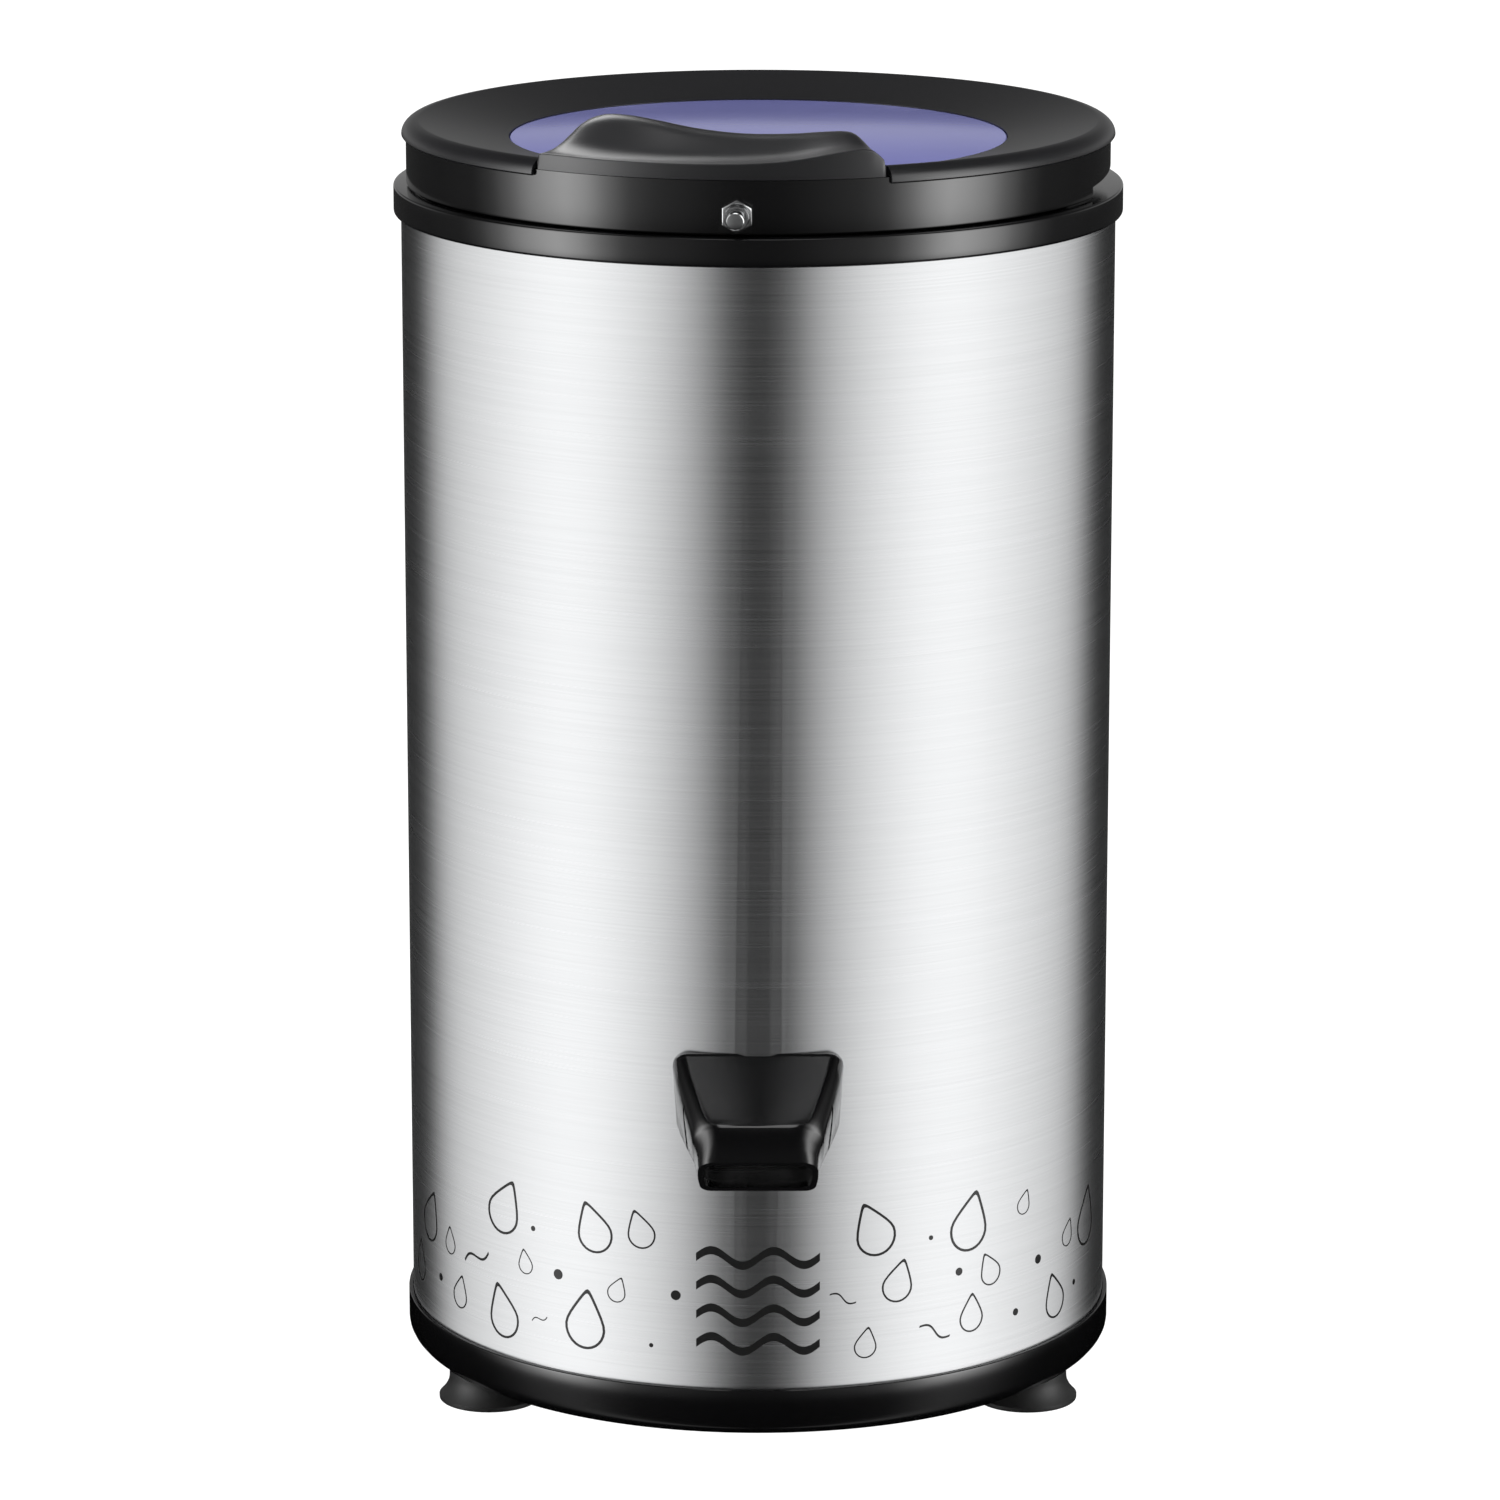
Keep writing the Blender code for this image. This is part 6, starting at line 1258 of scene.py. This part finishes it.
class SPIN_OT_finishes(bpy.types.Operator):
    """Makes the materials and gives them to the CAD nodes that keep their own shape"""

    bl_idname = "spin.finishes"
    bl_label = "Finishes"

    def execute(self, context):
        for short, name, tint, *looks in FINISHES:
            finishes[short] = make_finish(name, tuple(getattr(context.scene.spin_colours, tint)), *looks)
        glass = finishes["window"].node_tree.nodes["Principled BSDF"]
        for socket, value in WINDOW_SOCKETS.items():
            glass.inputs[socket].default_value = value
        for finish, nodes in KEPT_NODES.items():
            for node in nodes:
                piece = frame["nodes"][node]
                for place in piece.material_slots:
                    place.material = finishes[finish]
                select_only(piece)
                bpy.ops.object.shade_smooth_by_angle(angle=SMOOTH_ANGLE)
        return {"FINISHED"}


# The studio

def levels(tree, angle, stops, gain=1.0):
    """A colour ramp that reads an angle in radians and gives a light level, from (degrees, level) stops."""
    low, high = stops[0][0], stops[-1][0]
    share = add_node(tree, "ShaderNodeMapRange", {"From Min": radians(low), "From Max": radians(high)},
                     {"Value": (angle, "Value")})
    ramp = add_node(tree, "ShaderNodeValToRGB", None, {"Fac": (share, "Result")})
    colours = ramp.color_ramp
    for index, (degree, level) in enumerate(stops):
        position = (degree - low) / (high - low)
        stop = colours.elements[index] if index < 2 else colours.elements.new(position)
        stop.position = position
        stop.color = (level * gain, level * gain, level * gain, 1.0)
    return ramp


def keep_to(light, pieces):
    """Lets a lamp or a glowing tent light only the given pieces."""
    receivers = bpy.data.collections.new(f"{light.name}_receivers")
    for piece in pieces:
        receivers.objects.link(piece)
    light.light_linking.receiver_collection = receivers


class SPIN_OT_studio(bpy.types.Operator):
    """Lays the white floor, puts up the light tents, the lamps and the white surround, and aims the camera"""

    bl_idname = "spin.studio"
    bl_label = "Studio"

    def execute(self, context):
        self.floor(context)
        self.tents()
        self.lamps(context)
        self.surround(context)
        self.camera(context)
        return {"FINISHED"}

    def floor(self, context):
        """A round floor that looks as white as the background to the camera, and pale to everything else."""
        deselect()
        bpy.ops.mesh.primitive_circle_add(vertices=TENT_STEPS, radius=FLOOR_RADIUS, fill_type="NGON")
        ground = bpy.context.object
        ground.name = "studio_floor"
        ground.visible_glossy = False
        ground.visible_transmission = True
        material = bpy.data.materials.new("studio_floor")
        material.use_nodes = True
        tree = material.node_tree
        tree.nodes.clear()
        tone = (*context.scene.spin_colours.floor, 1.0)
        matt = add_node(tree, "ShaderNodeBsdfDiffuse", {"Color": tone})
        glow = add_node(tree, "ShaderNodeEmission", {"Strength": FLOOR_GLOW})
        light = add_node(tree, "ShaderNodeLightPath")
        share = add_node(tree, "ShaderNodeMath", {"operation": "MULTIPLY", 1: FLOOR_GLOW_SHARE},
                         {0: (light, "Is Camera Ray")})
        mixed = add_node(tree, "ShaderNodeMixShader", None,
                         {0: (share, "Value"), 1: (matt, "BSDF"), 2: (glow, "Emission")})
        add_node(tree, "ShaderNodeOutputMaterial", None, {"Surface": (mixed, "Shader")})
        ground.data.materials.append(material)

    def tents(self):
        """Two round tents that only reflections see: the outer one for the steel, the inner for the rest."""
        casing = bpy.data.objects["steel_casing"]
        others = [piece for piece in bpy.data.objects
                  if piece.type == "MESH" and piece.parent and piece != casing]
        tree, azimuth, elevation = self.tent("steel_tent", TENT_RADIUS, [casing])
        light = levels(tree, azimuth, STEEL_TENT, TENT_GAIN)
        glow = add_node(tree, "ShaderNodeEmission", None, {"Color": (light, "Color")})
        add_node(tree, "ShaderNodeOutputMaterial", None, {"Surface": (glow, "Emission")})

        tree, azimuth, elevation = self.tent("plastic_tent", TENT_RADIUS * TENT_SPACING, others)
        total = None
        for across, upright in PLASTIC_TENT:
            light = add_node(tree, "ShaderNodeMath", {"operation": "MULTIPLY"}, {
                0: (levels(tree, azimuth, across), "Color"), 1: (levels(tree, elevation, upright), "Color")})
            if total:
                light = add_node(tree, "ShaderNodeMath", {"operation": "ADD"},
                                 {0: (total, "Value"), 1: (light, "Value")})
            total = light
        glow = add_node(tree, "ShaderNodeEmission", None, {"Strength": (total, "Value")})
        clear = add_node(tree, "ShaderNodeBsdfTransparent")
        both = add_node(tree, "ShaderNodeAddShader", None, {0: (glow, "Emission"), 1: (clear, "BSDF")})
        add_node(tree, "ShaderNodeOutputMaterial", None, {"Surface": (both, "Shader")})

    def tent(self, name, radius, pieces):
        """A sphere that lights only the given pieces: its node tree and two angles seen from its middle."""
        deselect()
        bpy.ops.mesh.primitive_uv_sphere_add(segments=TENT_STEPS, ring_count=ROUND_STEPS, radius=radius,
                                             location=(0, AXIS_Y, TENT_MIDDLE))
        tent = bpy.context.object
        tent.name = name
        tent.visible_camera = False
        tent.visible_diffuse = False
        tent.visible_shadow = False
        tent.visible_transmission = False
        keep_to(tent, pieces)
        material = bpy.data.materials.new(name)
        material.use_nodes = True
        tent.data.materials.append(material)
        tree = material.node_tree
        tree.nodes.clear()
        place = add_node(tree, "ShaderNodeTexCoord")
        split = add_node(tree, "ShaderNodeSeparateXYZ", None, {"Vector": (place, "Object")})
        side = add_node(tree, "ShaderNodeMath", {"operation": "ABSOLUTE"}, {0: (split, "X")})
        front = add_node(tree, "ShaderNodeMath", {"operation": "MULTIPLY", 1: -1.0}, {0: (split, "Y")})
        azimuth = add_node(tree, "ShaderNodeMath", {"operation": "ARCTAN2"},
                           {0: (side, "Value"), 1: (front, "Value")})
        rise = add_node(tree, "ShaderNodeMath", {"operation": "DIVIDE", 1: radius}, {0: (split, "Z")})
        elevation = add_node(tree, "ShaderNodeMath", {"operation": "ARCSINE"}, {0: (rise, "Value")})
        return tree, azimuth, elevation

    def lamps(self, context):
        """A broad soft lamp overhead, a weaker one on each side, and one each for the handle and the lock."""
        for name, place, width, power, pieces in LAMPS:
            deselect()
            bpy.ops.object.light_add(type="AREA", location=place)
            lamp = bpy.context.object
            lamp.name = name
            lamp.data.shape = "SQUARE"
            lamp.data.size = width
            lamp.data.energy = power
            lamp.visible_glossy = bool(pieces)
            if pieces:
                keep_to(lamp, [bpy.data.objects[piece] for piece in pieces])
            aim = Vector((0, AXIS_Y, LAMP_AIM)) - Vector(place)
            lamp.rotation_euler = aim.to_track_quat("-Z", "Y").to_euler()

    def surround(self, context):
        """White for the eye, for reflections and through the window; softer as a light on the object."""
        world = bpy.data.worlds.new("white_surround")
        context.scene.world = world
        world.use_nodes = True
        tree = world.node_tree
        tree.nodes.clear()
        light = add_node(tree, "ShaderNodeLightPath")
        seen = add_node(tree, "ShaderNodeMath", {"operation": "ADD"},
                        {0: (light, "Is Camera Ray"), 1: (light, "Is Glossy Ray")})
        passed = add_node(tree, "ShaderNodeMath", {"operation": "ADD", "use_clamp": True},
                          {0: (seen, "Value"), 1: (light, "Is Transmission Ray")})
        strength = add_node(tree, "ShaderNodeMapRange", {"To Min": AMBIENT, "To Max": 1.0},
                            {"Value": (passed, "Value")})
        glow = add_node(tree, "ShaderNodeBackground", {"Color": (1.0, 1.0, 1.0, 1.0)},
                        {"Strength": (strength, "Result")})
        add_node(tree, "ShaderNodeOutputWorld", None, {"Surface": (glow, "Background")})
        context.scene.view_settings.view_transform = "Standard"

    def camera(self, context):
        """The camera as fitted to the photograph."""
        deselect()
        bpy.ops.object.camera_add(location=(0, AXIS_Y - CAMERA_REACH, CAMERA_HEIGHT),
                                  rotation=(QUARTER_TURN - CAMERA_PITCH, 0, CAMERA_YAW))
        camera = bpy.context.object
        camera.data.sensor_width = SENSOR_MM
        camera.data.lens = LENS_MM
        camera.data.clip_end = CAMERA_RANGE
        context.scene.camera = camera


PIECES = [
    SPIN_OT_finishes, SPIN_OT_casing, SPIN_OT_tray, SPIN_OT_feet, SPIN_OT_collar, SPIN_OT_spout,
    SPIN_OT_skirt, SPIN_OT_cover, SPIN_OT_window, SPIN_OT_handle, SPIN_OT_lock, SPIN_OT_print,
    SPIN_OT_studio,
]
PROPERTIES = {
    "spin_body": SPIN_PG_body_sizes,
    "spin_lid": SPIN_PG_lid_sizes,
    "spin_spout": SPIN_PG_spout_sizes,
    "spin_colours": SPIN_PG_colours,
}


class SPIN_PT_panel(bpy.types.Panel):
    """Lists the spin dryer's operators with their sizes"""

    bl_idname = "SPIN_PT_panel"
    bl_label = "Spin dryer"
    bl_space_type = "VIEW_3D"
    bl_region_type = "UI"
    bl_category = "Spin dryer"

    def draw(self, context):
        for piece in PIECES:
            self.layout.operator(piece.bl_idname, text=piece.bl_label)
        for name, group in PROPERTIES.items():
            box = self.layout.box()
            for entry in group.__annotations__:
                box.prop(getattr(context.scene, name), entry)


def register():
    for group in PROPERTIES.values():
        bpy.utils.register_class(group)
    for name, group in PROPERTIES.items():
        setattr(bpy.types.Scene, name, bpy.props.PointerProperty(type=group))
    for piece in [*PIECES, SPIN_PT_panel]:
        bpy.utils.register_class(piece)


def unregister():
    for piece in reversed([*PIECES, SPIN_PT_panel]):
        bpy.utils.unregister_class(piece)
    for name, group in PROPERTIES.items():
        delattr(bpy.types.Scene, name)
        bpy.utils.unregister_class(group)


def main():
    """Builds the scene with the add-on's own operators."""
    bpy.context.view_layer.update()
    register()
    for piece in PIECES:
        family, name = piece.bl_idname.split(".")
        result = getattr(getattr(bpy.ops, family), name)()
        if result != {"FINISHED"}:
            raise RuntimeError(f"{piece.bl_idname} didn't finish")


if __name__ == "__main__":
    main()
